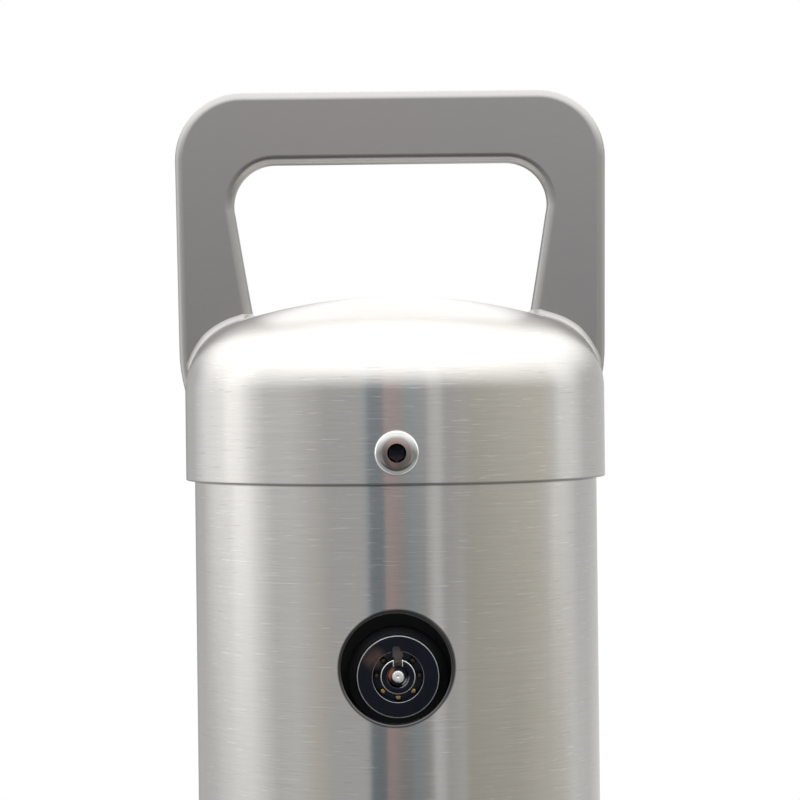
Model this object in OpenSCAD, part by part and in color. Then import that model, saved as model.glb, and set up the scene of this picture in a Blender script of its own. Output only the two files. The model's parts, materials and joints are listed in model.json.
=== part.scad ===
// Retractable bollard: a domed steel post with a grab handle that sinks into a ground casing.
// Z is up, z = 0 is the finished ground, and the keyhole faces -Y. The post is drawn raised and unlocked.

/* [Post] */
// Outside diameter of the post tube
post_d = 101.6; // [95:0.1:122]
// Wall of the post tube
post_wall = 3; // [2:0.5:4]
// Height of the cap's crown above the ground
post_height = 600; // [500:1:800]
// Length of tube that stays below ground when the post is raised
post_tail = 190; // [185:1:260]

/* [Cap] */
// Wall of the cap
cap_wall = 2; // [1.5:0.1:3]
// Gap between the cap's skirt and the tube
cap_gap = 0.2; // [0.1:0.05:0.4]
// Radius of the shallow crown
crown_r = 135; // [110:1:200]
// Radius of the knuckle between crown and skirt
knuckle_r = 15; // [10:0.5:18]
// Height of the straight skirt
skirt_h = 24.6; // [20:0.1:32]
// Height of the screw line above the skirt's lower edge
screw_rise = 7.5; // [7:0.1:10]

/* [Handle] */
// Thickness of the handle plate
handle_t = 8; // [6:0.5:12]
// How much wider the handle is at its top than the cap, on each side
handle_flare = 1.4; // [0:0.1:3]
// Height of the handle above the crown
handle_rise = 52; // [46:0.5:70]
// Depth of the grip bar
grip_h = 18; // [14:0.5:20]
// Half width of the opening under the grip bar
opening_top = 39.7; // [36:0.1:42]
// Half width of the opening at the crown
opening_base = 36.4; // [32:0.1:38]
// Radius of the outer corners
handle_corner = 17; // [12:0.5:20]
// Radius of the opening's corners
opening_corner = 10.5; // [7:0.5:12]
// Leg length of the weld fillets at the handle's feet
weld_leg = 4; // [2:0.5:4]

/* [Key lock] */
// Depth of the lock's axis below the crown
lock_drop = 91.6; // [85:0.1:110]
// Radius of the hole in the tube in front of the lock
keyhole_r = 12.4; // [12:0.1:13.5]
// Height of that hole's centre above the lock's axis
keyhole_rise = 2.5; // [0:0.1:2.5]
// Depth of the lock's face behind the tube's surface
face_depth = 6.5; // [6:0.1:9]
// Radius of the lock's bevelled rim
rim_r = 11.9; // [11.5:0.1:12]
// Radius of the lock's threaded barrel
barrel_r = 9.5; // [9:0.1:9.8]
// Outer radius of the ring-shaped keyway
keyway_r = 6; // [5.8:0.1:6.2]
// Radius of the post in the middle of the keyway
core_r = 4.2; // [4:0.1:4.3]

/* [Locking gear] */
// Diameter of the draw rod
draw_rod_d = 8; // [6:0.5:8]
// Diameter of the two locking bolts
bolt_d = 16; // [12:0.5:18]
// How far each bolt is thrown
bolt_throw = 9.8; // [8:0.1:10]
// Depth of the bolts' axis below ground when the post is raised
bolt_depth = 158; // [156:1:162]

/* [Gas spring] */
// Diameter of the spring's cylinder
cylinder_d = 22; // [18:0.5:22]
// Diameter of the spring's rod
rod_d = 10; // [8:0.5:10]

/* [Ground casing] */
// How much wider the buried casing is than the post
casing_room = 38.1; // [38:0.1:60]
// Wall of the casing
casing_wall = 3; // [2:0.5:3]
// Depth of the sump under the lowered post
sump = 54; // [50:1:150]
// Width of the square ground flange
flange_w = 220; // [212:1:300]
// Thickness of the ground flange
flange_t = 10; // [8:0.5:16]
// Distance between the anchor holes
anchor_pitch = 180; // [176:1:190]
// Radius of the anchor holes
anchor_r = 6.5; // [5:0.5:8]

/* [Guide collar] */
// Thickness of the collar's plate
collar_t = 6; // [5:0.5:10]
// Depth of the collar's stop lip below ground
stop_depth = 126; // [124:1:128]
// Running clearance between the post and the guide bushes
guide_gap = 0.4; // [0.3:0.05:0.8]

/* [Hidden] */
$fn = 96;

eps = 0.01;
thread_gap = 0.05; // radial gap between a screw and the hole it is threaded into
seat_gap = 0.3; // gap between parts that slide past or rest near each other
far = 400; // longer than any cut has to be

// Post and cap
post_r = post_d / 2;
post_in = post_r - post_wall;
cap_r = post_r + cap_gap + cap_wall;
knuckle_x = cap_r - knuckle_r;
crown_angle = asin(knuckle_x / (crown_r - knuckle_r));
crown_centre = post_height - crown_r;
skirt_top = crown_centre + (crown_r - knuckle_r) * cos(crown_angle);
skirt_bottom = skirt_top - skirt_h;
join_r = knuckle_x + knuckle_r * sin(crown_angle);

// Fasteners: M6 button heads on the cap, M8 on the collar, M4 on the retainer, M6 on the foot
m4_r = 2;
m6_r = 3;
m8_r = 4;
screw_gap = 0.3;
cap_head_r = 5.25;
cap_head_h = 3.3;
cap_socket = 4;
cap_nut_r = 6;
cap_nut_h = 6;
cap_screw_z = skirt_bottom + screw_rise;
cap_screw_angles = [270, 30, 150];

// Key lock, measured along Y from the face inwards
lock_z = post_height - lock_drop;
keyhole_z = lock_z + keyhole_rise;
face_y = -post_r + face_depth;
rim_t = 3;
shoulder_r = 10.5;
cup_floor_y = face_y + 7;
cup_floor_t = 2;
cup_wall = 2.2;
cup_r = rim_r + keyhole_rise + seat_gap;
bracket_y = cup_floor_y + cup_floor_t;
bracket_t = 3;
bracket_below = 16;
bracket_above = 20;
lock_nut_y = bracket_y + bracket_t;
lock_nut_t = 5;
lock_nut_r = 13.8;
barrel_end = face_y + 29;
key_depth = 6;
notch_w = 2.1;
notch_top = 7.3;
notch_in = 2.5;
pin_pcd_r = (keyway_r + core_r) / 2;
key_pin_r = 0.7;
key_pin_l = 9;
key_pin_out = 4.6;
key_press = 2;
centre_pin_r = 1.5;
centre_dish_r = 2.6;
centre_dish_d = 1.6;

// Crank and yoke: a quarter turn of the crank moves the yoke by the bolts' throw
crank_r = bolt_throw / (2 * sin(45));
crank_y = barrel_end + 1;
crank_t = 4;
crank_disc_r = 10;
crank_pin_r = 2.5;
crank_screw_head_r = 3.4;
crank_screw_head_h = 2.8;
yoke_y = crank_y + crank_t + crank_screw_head_h + 0.7;
yoke_t = 3;
yoke_slack = 0.45; // the crank runs on a circle and the yoke on a line
yoke_tab_drop = 28;

// Draw rod, in front of the gas spring
draw_rod_r = draw_rod_d / 2;
draw_y = -(cylinder_d / 2 + 15);
nut_t = 5;
nut_r = 7.5;
tab_t = 3;
yoke_tab_z = lock_z - yoke_tab_drop;
draw_rod_top = yoke_tab_z + tab_t + nut_t + 3;

// Bolts and their cam plate
bolt_r = bolt_d / 2;
bolt_z = -bolt_depth;
bolt_in = cylinder_d / 2 + 3;
bolt_tip = post_r + 2.9;
drive_pin_r = 3;
drive_pin_x = bolt_in + 6;
bolt_guide_r = bolt_r + 4;
bolt_guide_in = post_in - 11.8;
cam_y = -max(cylinder_d / 2 + 1.5, bolt_guide_r + 0.5);
cam_t = 5;
cam_slack = 0.15;
cam_half_w = drive_pin_x + bolt_throw + drive_pin_r + cam_slack + 4;
cam_below = 8;
cam_above = 18;
cam_top = bolt_z + cam_above;
draw_rod_bottom = cam_top - tab_t - nut_t - 3;

// Foot of the post
foot_r = post_r + 5.7;
foot_t = 10;
stop_top = -stop_depth - 3 - seat_gap;
stop_ring_h = 12.5;
rebound_h = 3;
foot_block_r = 6;
foot_block_h = 14;
foot_block_pcd_r = post_in - foot_block_r - 1;
foot_screw_angles = [45, 135, 225, 315];

// Guide collar, bushes and seal
bush_l = 34;
bush_wall = 6.8;
bush_in = post_r + guide_gap;
collar_wall = 4;
collar_r = bush_in + bush_wall + collar_wall;
lip_t = 6;
seal_in = post_r + 0.2;
seal_top = 8;
seal_foot = -4;
retainer_t = 2;
retainer_in = cap_r + 1;
retainer_r = cap_r + 15;
retainer_screw_pcd_r = collar_r + 1;

// Travel ends when the skirt lands on the seal
travel = skirt_bottom - seal_top - seat_gap;

// Casing, latch rings and rail
casing_r = (post_d + casing_room) / 2;
casing_in = casing_r - casing_wall;
casing_depth = post_tail + foot_t + travel + sump;
base_t = 8;
latch_in = foot_r + 2;
latch_t = 12;
latch_top = bolt_z - bolt_r - 1;
rail_w = 8;
rail_in = foot_r - 2;
rail_gap = 0.6;
rail_top = latch_top - latch_t - 2;
rail_bottom = -casing_depth + 20;
drain_r = 9;
drain_pcd_r = 48;
collar_plate_r = casing_r + 12.15;
collar_screw_pcd_r = casing_r + m8_r + 0.65;
csk_head_r = 8;
csk_head_h = 4;

// Gas spring: the cylinder hangs in the post and the rod stands on the casing's base
eye_t = 10;
eye_r = 8;
clevis_pin_r = 4;
ear_t = 5;
ear_gap = 0.5;
clevis_head_r = 6.5;
lower_pin_z = -casing_depth + 18;
bulkhead_t = 6;
bulkhead_z = lock_z - 62;
upper_pin_z = bulkhead_z - 20;
cylinder_top = upper_pin_z - 18;
cylinder_r = cylinder_d / 2;
cylinder_wall = 1.5;
cylinder_plug = 10;
gland_l = 20;
rod_r = rod_d / 2;
rod_run = 0.05;
piston_l = 15;
piston_spare = 10; // left over the piston when the post is down
cylinder_bottom = cylinder_top - cylinder_plug - piston_spare - piston_l - travel - 2 - gland_l;
piston_bottom = cylinder_bottom + gland_l + 2;
rod_foot_z = lower_pin_z + 18;

// Height of the dome's outer surface at radius r
function dome_z(r) = r < join_r ? crown_centre + sqrt(crown_r^2 - r^2)
    : skirt_top + sqrt(max(0, knuckle_r^2 - (min(r, cap_r) - knuckle_x)^2));

module tube(r_out, r_in, z0, z1) {
    translate([0, 0, z0]) difference() {
        cylinder(r = r_out, h = z1 - z0);
        translate([0, 0, -1]) cylinder(r = r_in, h = z1 - z0 + 2);
    }
}

// A cylinder along +Y from y0 to y1
module bar_y(r, y0, y1) {
    translate([0, y0, 0]) rotate([-90, 0, 0]) cylinder(r = r, h = y1 - y0);
}

// A cylinder along +X from x0 to x1
module bar_x(r, x0, x1) {
    translate([x0, 0, 0]) rotate([0, 90, 0]) cylinder(r = r, h = x1 - x0);
}

// Puts children that are drawn along +X round the axis at each angle
module around(angles) {
    for (a = angles) rotate([0, 0, a]) children();
}

module hex_nut(r_out, bore, h) {
    difference() {
        cylinder(r = r_out, h = h, $fn = 6);
        translate([0, 0, -1]) cylinder(r = bore, h = h + 2);
    }
}

// ---- Ground casing ----

module casing_tube() {
    color("slategray") tube(casing_r, casing_in, -casing_depth, -flange_t);
}

module ground_flange() {
    corner = 12;
    half = flange_w / 2 - corner;
    color("silver") difference() {
        translate([0, 0, -flange_t]) linear_extrude(flange_t) union() {
            square([flange_w, 2 * half], center = true);
            square([2 * half, flange_w], center = true);
            for (x = [-half, half], y = [-half, half]) translate([x, y]) circle(corner);
        }
        translate([0, 0, -flange_t - 1]) cylinder(r = casing_in, h = flange_t + 2);
        // Weld groove round the casing tube
        rotate_extrude() polygon([
            [casing_r + 0.2, -flange_t - 0.1], [casing_r + 1.6, -flange_t + 1.3], [casing_r + 3, -flange_t - 0.1]]);
        for (x = [-1, 1], y = [-1, 1])
            translate([x * anchor_pitch / 2, y * anchor_pitch / 2, -flange_t - 1])
                cylinder(r = anchor_r, h = flange_t + 2);
        around([0 : 60 : 300]) translate([collar_screw_pcd_r, 0, -flange_t - 1])
            cylinder(r = m8_r + thread_gap, h = flange_t + 2);
    }
}

module casing_base() {
    color("slategray") difference() {
        translate([0, 0, -casing_depth - base_t]) cylinder(r = casing_r, h = base_t);
        around([45 : 90 : 315]) translate([drain_pcd_r, 0, -casing_depth - base_t - 1])
            cylinder(r = drain_r, h = base_t + 2);
    }
}

module latch_ring() {
    color("dimgray") tube(casing_in, latch_in, latch_top - latch_t, latch_top);
}

// Holds the bolts down when the post is locked below ground, and lets the rail pass
module lower_latch_ring() {
    low = bolt_z - travel + bolt_r + 1;
    color("dimgray") difference() {
        tube(casing_in, latch_in, low, low + latch_t);
        translate([-rail_w / 2 - seat_gap, 0, low - 1]) cube([rail_w + 2 * seat_gap, far, latch_t + 2]);
    }
}

module anti_turn_rail() {
    color("dimgray") intersection() {
        translate([-rail_w / 2, rail_in, rail_bottom]) cube([rail_w, far, rail_top - rail_bottom]);
        translate([0, 0, -casing_depth]) cylinder(r = casing_in, h = casing_depth);
    }
}

// Gap in a sliding ring or plate that the rail runs in
module rail_slot() {
    translate([-rail_w / 2 - rail_gap, rail_in - rail_gap, -far]) cube([rail_w + 2 * rail_gap, 60, 2 * far]);
}

// ---- Guide collar ----

module guide_collar() {
    color("silver") difference() {
        union() {
            cylinder(r = collar_plate_r, h = collar_t);
            translate([0, 0, -stop_depth + lip_t - eps]) cylinder(r = collar_r, h = stop_depth - lip_t + 1);
            translate([0, 0, -stop_depth]) cylinder(r = casing_in - seat_gap, h = lip_t);
        }
        translate([0, 0, -stop_depth + lip_t]) cylinder(r = collar_r - collar_wall, h = stop_depth + collar_t);
        translate([0, 0, -stop_depth - 1]) cylinder(r = bush_in + 1, h = lip_t + 2);
        around([0 : 60 : 300]) translate([collar_screw_pcd_r, 0, 0]) {
            translate([0, 0, -1]) cylinder(r = m8_r + screw_gap, h = collar_t + 2);
            translate([0, 0, collar_t - csk_head_h])
                cylinder(r1 = m8_r + screw_gap, r2 = csk_head_r + screw_gap, h = csk_head_h + eps);
        }
        around([30 : 60 : 330]) translate([retainer_screw_pcd_r, 0, -eps])
            cylinder(r = m4_r + thread_gap, h = collar_t + 1);
    }
}

module guide_bush(z0, z1) {
    color("white") tube(collar_r - collar_wall, bush_in, z0, z1);
}

module upper_guide_bush() {
    guide_bush(seal_foot - bush_l, seal_foot);
}

module lower_guide_bush() {
    guide_bush(-stop_depth + lip_t, -stop_depth + lip_t + bush_l);
}

module wiper_seal() {
    body_r = collar_r - collar_wall;
    color("black") rotate_extrude() polygon([
        [seal_in + 1.2, seal_foot], [body_r, seal_foot], [body_r, collar_t], [retainer_in, collar_t],
        [retainer_in, seal_top], [seal_in, seal_top], [seal_in, seal_top - 2.5],
        [seal_in + 1.2, seal_top - 4.5]
    ]);
}

module seal_retainer() {
    color("silver") difference() {
        tube(retainer_r, retainer_in + seat_gap, collar_t, collar_t + retainer_t);
        around([30 : 60 : 330]) translate([retainer_screw_pcd_r, 0, collar_t - 1])
            cylinder(r = m4_r + screw_gap, h = retainer_t + 2);
        around([0 : 60 : 300]) translate([collar_screw_pcd_r, 0, collar_t - 1])
            cylinder(r = csk_head_r + 1, h = retainer_t + 2);
    }
}

module collar_screws() {
    color("gainsboro") around([0 : 60 : 300]) translate([collar_screw_pcd_r, 0, 0]) difference() {
        union() {
            translate([0, 0, -flange_t + 1]) cylinder(r = m8_r, h = flange_t - 1 + collar_t - csk_head_h);
            translate([0, 0, collar_t - csk_head_h - eps]) cylinder(r1 = m8_r, r2 = csk_head_r, h = csk_head_h);
        }
        translate([0, 0, collar_t - 3]) cylinder(r = 2.9, h = 4, $fn = 6);
    }
}

module retainer_screws() {
    color("gainsboro") around([30 : 60 : 330])
        translate([retainer_screw_pcd_r, 0, collar_t + retainer_t]) difference() {
            union() {
                translate([0, 0, -retainer_t - 4.5]) cylinder(r = m4_r, h = retainer_t + 4.5 + eps);
                rotate_extrude() intersection() {
                    translate([0, -4.2]) circle(6.2);
                    square([3.8, 2.4]);
                }
            }
            translate([0, 0, 0.5]) cylinder(r = 1.44, h = 4, $fn = 6);
        }
}

// ---- Gas spring ----

// Two ears with a cross hole for a clevis pin along X, joined by a foot at z = root
module clevis(pin_z, root) {
    low = min(pin_z - eye_r, root);
    high = max(pin_z + eye_r, root);
    foot_low = root < pin_z ? root : root - ear_t;
    difference() {
        union() {
            for (side = [-1, 1])
                translate([side * (eye_t / 2 + ear_gap + ear_t / 2) - ear_t / 2, -eye_r, low])
                    cube([ear_t, 2 * eye_r, high - low]);
            translate([-eye_t / 2 - ear_gap - ear_t, -eye_r, foot_low])
                cube([eye_t + 2 * ear_gap + 2 * ear_t, 2 * eye_r, ear_t - 2]);
        }
        translate([0, 0, pin_z]) bar_x(clevis_pin_r + thread_gap, -far / 2, far / 2);
    }
}

// A spring end: an eye on the clevis pin with a neck to the rod or the cylinder
module spring_eye(pin_z, neck_z) {
    difference() {
        union() {
            translate([0, 0, pin_z]) bar_x(eye_r, -eye_t / 2, eye_t / 2);
            translate([0, 0, min(pin_z, neck_z)]) cylinder(r = eye_t / 2, h = abs(neck_z - pin_z));
        }
        translate([0, 0, pin_z]) bar_x(clevis_pin_r + thread_gap, -far / 2, far / 2);
    }
}

module clevis_pin(pin_z) {
    half = eye_t / 2 + ear_gap + ear_t;
    translate([0, 0, pin_z]) difference() {
        union() {
            bar_x(clevis_pin_r, -half - 1, half + 4);
            bar_x(clevis_head_r, -half - 2.5, -half - thread_gap);
        }
        translate([half + 1, 0, 0]) rotate([0, 90, 0]) difference() {
            cylinder(r = clevis_pin_r + 1, h = 1.2);
            translate([0, 0, -1]) cylinder(r = clevis_pin_r - 0.8, h = 4);
        }
    }
}

module pin_clip(pin_z) {
    half = eye_t / 2 + ear_gap + ear_t;
    translate([half + 1.1, 0, pin_z]) rotate([0, 90, 0]) difference() {
        cylinder(r = clevis_pin_r + 2.5, h = 1);
        translate([0, 0, -1]) cylinder(r = clevis_pin_r - 0.7, h = 3);
        translate([-2, 0, -1]) cube([4, 20, 3]);
    }
}

module base_clevis() {
    color("dimgray") clevis(lower_pin_z, -casing_depth);
}

module lower_clevis_pin() {
    color("gainsboro") clevis_pin(lower_pin_z);
}

module lower_pin_clip() {
    color("gray") pin_clip(lower_pin_z);
}

module rod_end_eye() {
    color("gray") spring_eye(lower_pin_z, rod_foot_z);
}

module spring_rod() {
    color("whitesmoke") translate([0, 0, rod_foot_z]) cylinder(r = rod_r, h = piston_bottom - rod_foot_z);
}

module spring_piston() {
    color("dimgray") difference() {
        translate([0, 0, piston_bottom])
            cylinder(r = cylinder_r - cylinder_wall - rod_run, h = piston_l);
        around([0 : 120 : 240]) translate([6, 0, piston_bottom - 1]) cylinder(r = 0.8, h = piston_l + 2);
    }
}

module spring_cylinder() {
    color([0.12, 0.12, 0.13]) difference() {
        translate([0, 0, cylinder_bottom]) cylinder(r = cylinder_r, h = cylinder_top - cylinder_bottom);
        translate([0, 0, cylinder_bottom - 1])
            cylinder(r = cylinder_r - cylinder_wall, h = cylinder_top - cylinder_plug - cylinder_bottom + 1);
    }
}

module cylinder_eye() {
    color("gray") spring_eye(upper_pin_z, cylinder_top);
}

module spring_gland() {
    color("gray") tube(cylinder_r - cylinder_wall, rod_r + rod_run, cylinder_bottom, cylinder_bottom + gland_l);
}

// ---- Post ----

module post_tube() {
    top = skirt_top - 0.5;
    color("lightgray") difference() {
        tube(post_r, post_in, -post_tail, top);
        translate([0, 0, keyhole_z]) bar_y(keyhole_r, -far, 0);
        around(cap_screw_angles) translate([0, 0, cap_screw_z]) bar_x(m6_r + screw_gap, 0, far);
        translate([0, 0, bolt_z]) bar_x(bolt_guide_r, -far, far);
    }
}

// Half of the dome's outline from the crown down to the skirt, set in from the outer surface
arc_steps = 14;
function dome_outline(inset) = concat(
    [for (i = [0 : arc_steps]) let(a = crown_angle * i / arc_steps)
        [(crown_r - inset) * sin(a), crown_centre + (crown_r - inset) * cos(a)]],
    [for (i = [1 : arc_steps]) let(a = crown_angle + (90 - crown_angle) * i / arc_steps)
        [knuckle_x + (knuckle_r - inset) * sin(a), skirt_top + (knuckle_r - inset) * cos(a)]]
);
function backwards(list) = [for (i = [len(list) - 1 : -1 : 0]) list[i]];

module cap() {
    color("gainsboro") difference() {
        rotate_extrude() polygon(concat(
            dome_outline(0),
            [[cap_r, skirt_bottom], [cap_r - cap_wall, skirt_bottom]],
            backwards(dome_outline(cap_wall))
        ));
        around(cap_screw_angles) translate([0, 0, cap_screw_z]) bar_x(m6_r + screw_gap, 0, far);
    }
}

// Everything under the dome's outer surface, down past the handle's feet
module dome_solid() {
    rotate_extrude() polygon(concat(dome_outline(0), [[cap_r, skirt_top - 10], [0, skirt_top - 10]]));
}

// Half width of the handle at height z, outside and in the opening
function handle_half(z) = cap_r + handle_flare * (z - skirt_top) / (post_height + handle_rise - skirt_top);
function opening_half(z) = opening_base + (opening_top - opening_base)
    * (z - post_height) / (handle_rise - grip_h);

module handle_outline() {
    top = post_height + handle_rise;
    hull() {
        for (side = [-1, 1]) {
            translate([side * (handle_half(top) - handle_corner), top - handle_corner]) circle(handle_corner);
            translate([side * (cap_r - 0.5), skirt_top + 1]) square(1, center = true);
        }
    }
}

module opening_outline() {
    top = post_height + handle_rise - grip_h;
    low = skirt_top;
    hull() {
        for (side = [-1, 1]) {
            translate([side * (opening_half(top) - opening_corner), top - opening_corner])
                circle(opening_corner);
            translate([side * (opening_half(low) - 0.5), low]) square(1, center = true);
        }
    }
}

module handle() {
    color("darkgray") difference() {
        rotate([90, 0, 0]) linear_extrude(handle_t, center = true) difference() {
            handle_outline();
            opening_outline();
        }
        dome_solid();
    }
}

// Path of a weld round the right leg's foot: each entry is [x, y, outward x, outward y]
weld_in = opening_half(post_height - 6);
weld_out = cap_r - 1.5;
weld_steps = 16;
function weld_path() = [
    for (i = [0 : weld_steps]) [weld_out + (weld_in - weld_out) * i / weld_steps, -handle_t / 2, 0, -1],
    for (a = [15 : 15 : 75]) [weld_in, -handle_t / 2, -sin(a), -cos(a)],
    for (i = [0 : 4]) [weld_in, handle_t * (i / 4 - 0.5), -1, 0],
    for (a = [75 : -15 : 15]) [weld_in, handle_t / 2, -sin(a), cos(a)],
    for (i = [0 : weld_steps]) [weld_in + (weld_out - weld_in) * i / weld_steps, handle_t / 2, 0, 1]
];

// Point at a share of the leg length out from the plate and up from the dome
function weld_point(p, out, up) = let(x = p[0] + p[2] * out * weld_leg, y = p[1] + p[3] * out * weld_leg)
    [x, y, dome_z(norm([x, y])) + up * weld_leg];

// A fillet of four-sided sections: root, toe on the dome, hollow face, toe on the plate
weld_sections = [[-0.1, -0.1], [1, -0.02], [0.36, 0.28], [-0.02, 1]];

module weld() {
    path = weld_path();
    n = len(weld_sections);
    last = len(path) - 1;
    points = [for (p = path, s = weld_sections) weld_point(p, s[0], s[1])];
    sides = [for (i = [0 : last - 1], j = [0 : n - 1]) let(k = (j + 1) % n)
        each [[i * n + j, i * n + k, (i + 1) * n + k], [i * n + j, (i + 1) * n + k, (i + 1) * n + j]]];
    ends = [[0, 3, 2], [0, 2, 1], [last * n, last * n + 1, last * n + 2], [last * n, last * n + 2, last * n + 3]];
    polyhedron(points, concat(sides, ends));
}

module handle_welds() {
    color("gainsboro") {
        weld();
        mirror([1, 0, 0]) weld();
    }
}

module cap_screws() {
    dome_r = (cap_head_r^2 + cap_head_h^2) / (2 * cap_head_h);
    color("gainsboro") around(cap_screw_angles) translate([cap_r, 0, cap_screw_z]) rotate([0, 90, 0])
        difference() {
            union() {
                rotate_extrude() intersection() {
                    translate([0, cap_head_h - dome_r]) circle(dome_r);
                    square([cap_head_r, cap_head_h - 0.35]);
                }
                translate([0, 0, -14]) cylinder(r = m6_r, h = 14 + eps);
            }
            translate([0, 0, cap_head_h - 2.6]) cylinder(r = cap_socket / sqrt(3), h = 4, $fn = 6);
        }
}

module cap_nuts() {
    color("gray") around(cap_screw_angles) intersection() {
        translate([post_in - cap_nut_h, 0, cap_screw_z]) rotate([0, 90, 0]) difference() {
            cylinder(r = cap_nut_r, h = 2 * cap_nut_h);
            translate([0, 0, -1]) cylinder(r = m6_r + thread_gap, h = 3 * cap_nut_h);
        }
        translate([0, 0, cap_screw_z - 20]) cylinder(r = post_in, h = 40);
    }
}

// ---- Key lock ----

module lock_cup() {
    color("black") translate([0, 0, keyhole_z]) difference() {
        intersection() {
            bar_y(cup_r + cup_wall, -post_r, bracket_y);
            translate([0, 0, -30]) cylinder(r = post_in, h = 60);
        }
        bar_y(cup_r, -far, cup_floor_y);
        translate([0, 0, -keyhole_rise]) bar_y(barrel_r + thread_gap, -far, far);
    }
}

module lock_bracket() {
    color("gray") difference() {
        intersection() {
            translate([-post_r, bracket_y, lock_z - bracket_below])
                cube([post_d, bracket_t, bracket_below + bracket_above]);
            translate([0, 0, lock_z - 40]) cylinder(r = post_in, h = 80);
        }
        translate([0, 0, lock_z]) bar_y(barrel_r + thread_gap, -far, far);
    }
}

module lock_barrel() {
    color([0.1, 0.11, 0.14]) translate([0, 0, lock_z]) difference() {
        union() {
            translate([0, face_y, 0]) rotate([-90, 0, 0]) {
                cylinder(r1 = rim_r - 2.2, r2 = rim_r, h = 1.4);
                translate([0, 0, 1.4]) cylinder(r = rim_r, h = rim_t - 1.4);
            }
            bar_y(shoulder_r, face_y + rim_t, cup_floor_y);
            bar_y(barrel_r, face_y + 1, barrel_end);
        }
        bar_y(keyway_r, face_y - 1, barrel_end + 1);
        translate([-notch_w / 2, face_y - 1, 0]) cube([notch_w, key_depth + 1, notch_top - notch_w / 2]);
        translate([0, 0, notch_top - notch_w / 2]) bar_y(notch_w / 2, face_y - 1, face_y + key_depth);
    }
}

module lock_nut() {
    color("gray") translate([0, lock_nut_y, lock_z]) rotate([-90, 0, 0])
        hex_nut(lock_nut_r, barrel_r + thread_gap, lock_nut_t);
}

module lock_core() {
    body_r = keyway_r - rod_run;
    color([0.1, 0.11, 0.14]) translate([0, 0, lock_z]) difference() {
        union() {
            bar_y(core_r, face_y, face_y + key_depth + 1);
            bar_y(body_r, face_y + key_depth, crank_y);
        }
        translate([-notch_w / 2, face_y - 1, notch_in]) cube([notch_w, key_depth + 1, keyway_r]);
        bar_y(centre_dish_r, face_y - 1, face_y + centre_dish_d);
        bar_y(centre_pin_r, face_y, face_y + key_depth);
        for (a = [45 : 45 : 315]) rotate([0, a, 0]) translate([0, 0, pin_pcd_r])
            bar_y(key_pin_r + rod_run, face_y + key_depth - 1, face_y + key_depth - key_pin_out + key_pin_l + key_press + 1);
        bar_y(m4_r + thread_gap, crank_y - 9, crank_y + 1);
    }
}

module centre_pin() {
    color("whitesmoke") translate([0, 0, lock_z]) union() {
        bar_y(centre_pin_r, face_y + 0.9, face_y + key_depth);
        translate([0, face_y + 0.9, 0]) rotate([90, 0, 0])
            cylinder(r1 = centre_pin_r, r2 = centre_pin_r - 0.4, h = 0.5);
    }
}

module key_pins() {
    color("goldenrod") translate([0, 0, lock_z])
        for (a = [45 : 45 : 315]) rotate([0, a, 0]) translate([0, 0, pin_pcd_r])
            bar_y(key_pin_r, face_y + key_depth - key_pin_out, face_y + key_depth - key_pin_out + key_pin_l);
}

// Disc on the core's tail, with the crank pin an eighth of a turn above the horizontal
module crank() {
    color("dimgray") translate([0, 0, lock_z]) difference() {
        union() {
            bar_y(crank_disc_r, crank_y, crank_y + crank_t);
            translate([crank_r * cos(45), 0, crank_r * sin(45)])
                bar_y(crank_pin_r, crank_y + crank_t - eps, yoke_y + yoke_t + 1);
        }
        bar_y(m4_r + screw_gap, crank_y - 1, crank_y + crank_t + 1);
    }
}

module crank_screw() {
    color("gainsboro") translate([0, 0, lock_z]) difference() {
        union() {
            bar_y(m4_r, crank_y - 8, crank_y + crank_t + eps);
            bar_y(crank_screw_head_r, crank_y + crank_t, crank_y + crank_t + crank_screw_head_h);
        }
        translate([0, crank_y + crank_t + 1, 0]) rotate([-90, 0, 0]) cylinder(r = 1.73, h = 5, $fn = 6);
    }
}

// ---- Draw rod and bolts ----

module draw_rod() {
    color("gray") translate([0, draw_y, draw_rod_bottom])
        cylinder(r = draw_rod_r, h = draw_rod_top - draw_rod_bottom);
}

// Horizontal tab round the draw rod, from its front edge back to y
module rod_tab(z, back_y) {
    difference() {
        translate([-10, draw_y - 9, z]) cube([20, back_y - draw_y + 9, tab_t]);
        translate([0, draw_y, z - 1]) cylinder(r = draw_rod_r + thread_gap, h = tab_t + 2);
    }
}

module yoke() {
    pin_x = crank_r * cos(45);
    slot_h = 2 * (crank_pin_r + yoke_slack);
    web_top = lock_z + crank_r * sin(45) + crank_pin_r + 5;
    color("gray") difference() {
        union() {
            rod_tab(yoke_tab_z, yoke_y + eps);
            translate([-10, yoke_y, yoke_tab_z]) cube([26, yoke_t, web_top - yoke_tab_z]);
        }
        translate([0, 0, lock_z + crank_r * sin(45)]) {
            for (x = [pin_x, crank_r]) translate([x, 0, 0]) bar_y(slot_h / 2, yoke_y - 1, yoke_y + yoke_t + 1);
            translate([pin_x, yoke_y - 1, -slot_h / 2]) cube([crank_r - pin_x, yoke_t + 2, slot_h]);
        }
    }
}

module draw_rod_nuts() {
    color("gainsboro") for (z = [yoke_tab_z, cam_top - tab_t]) translate([0, draw_y, z]) {
        translate([0, 0, tab_t]) hex_nut(nut_r, draw_rod_r + thread_gap, nut_t);
        translate([0, 0, -nut_t]) hex_nut(nut_r, draw_rod_r + thread_gap, nut_t);
    }
}

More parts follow.
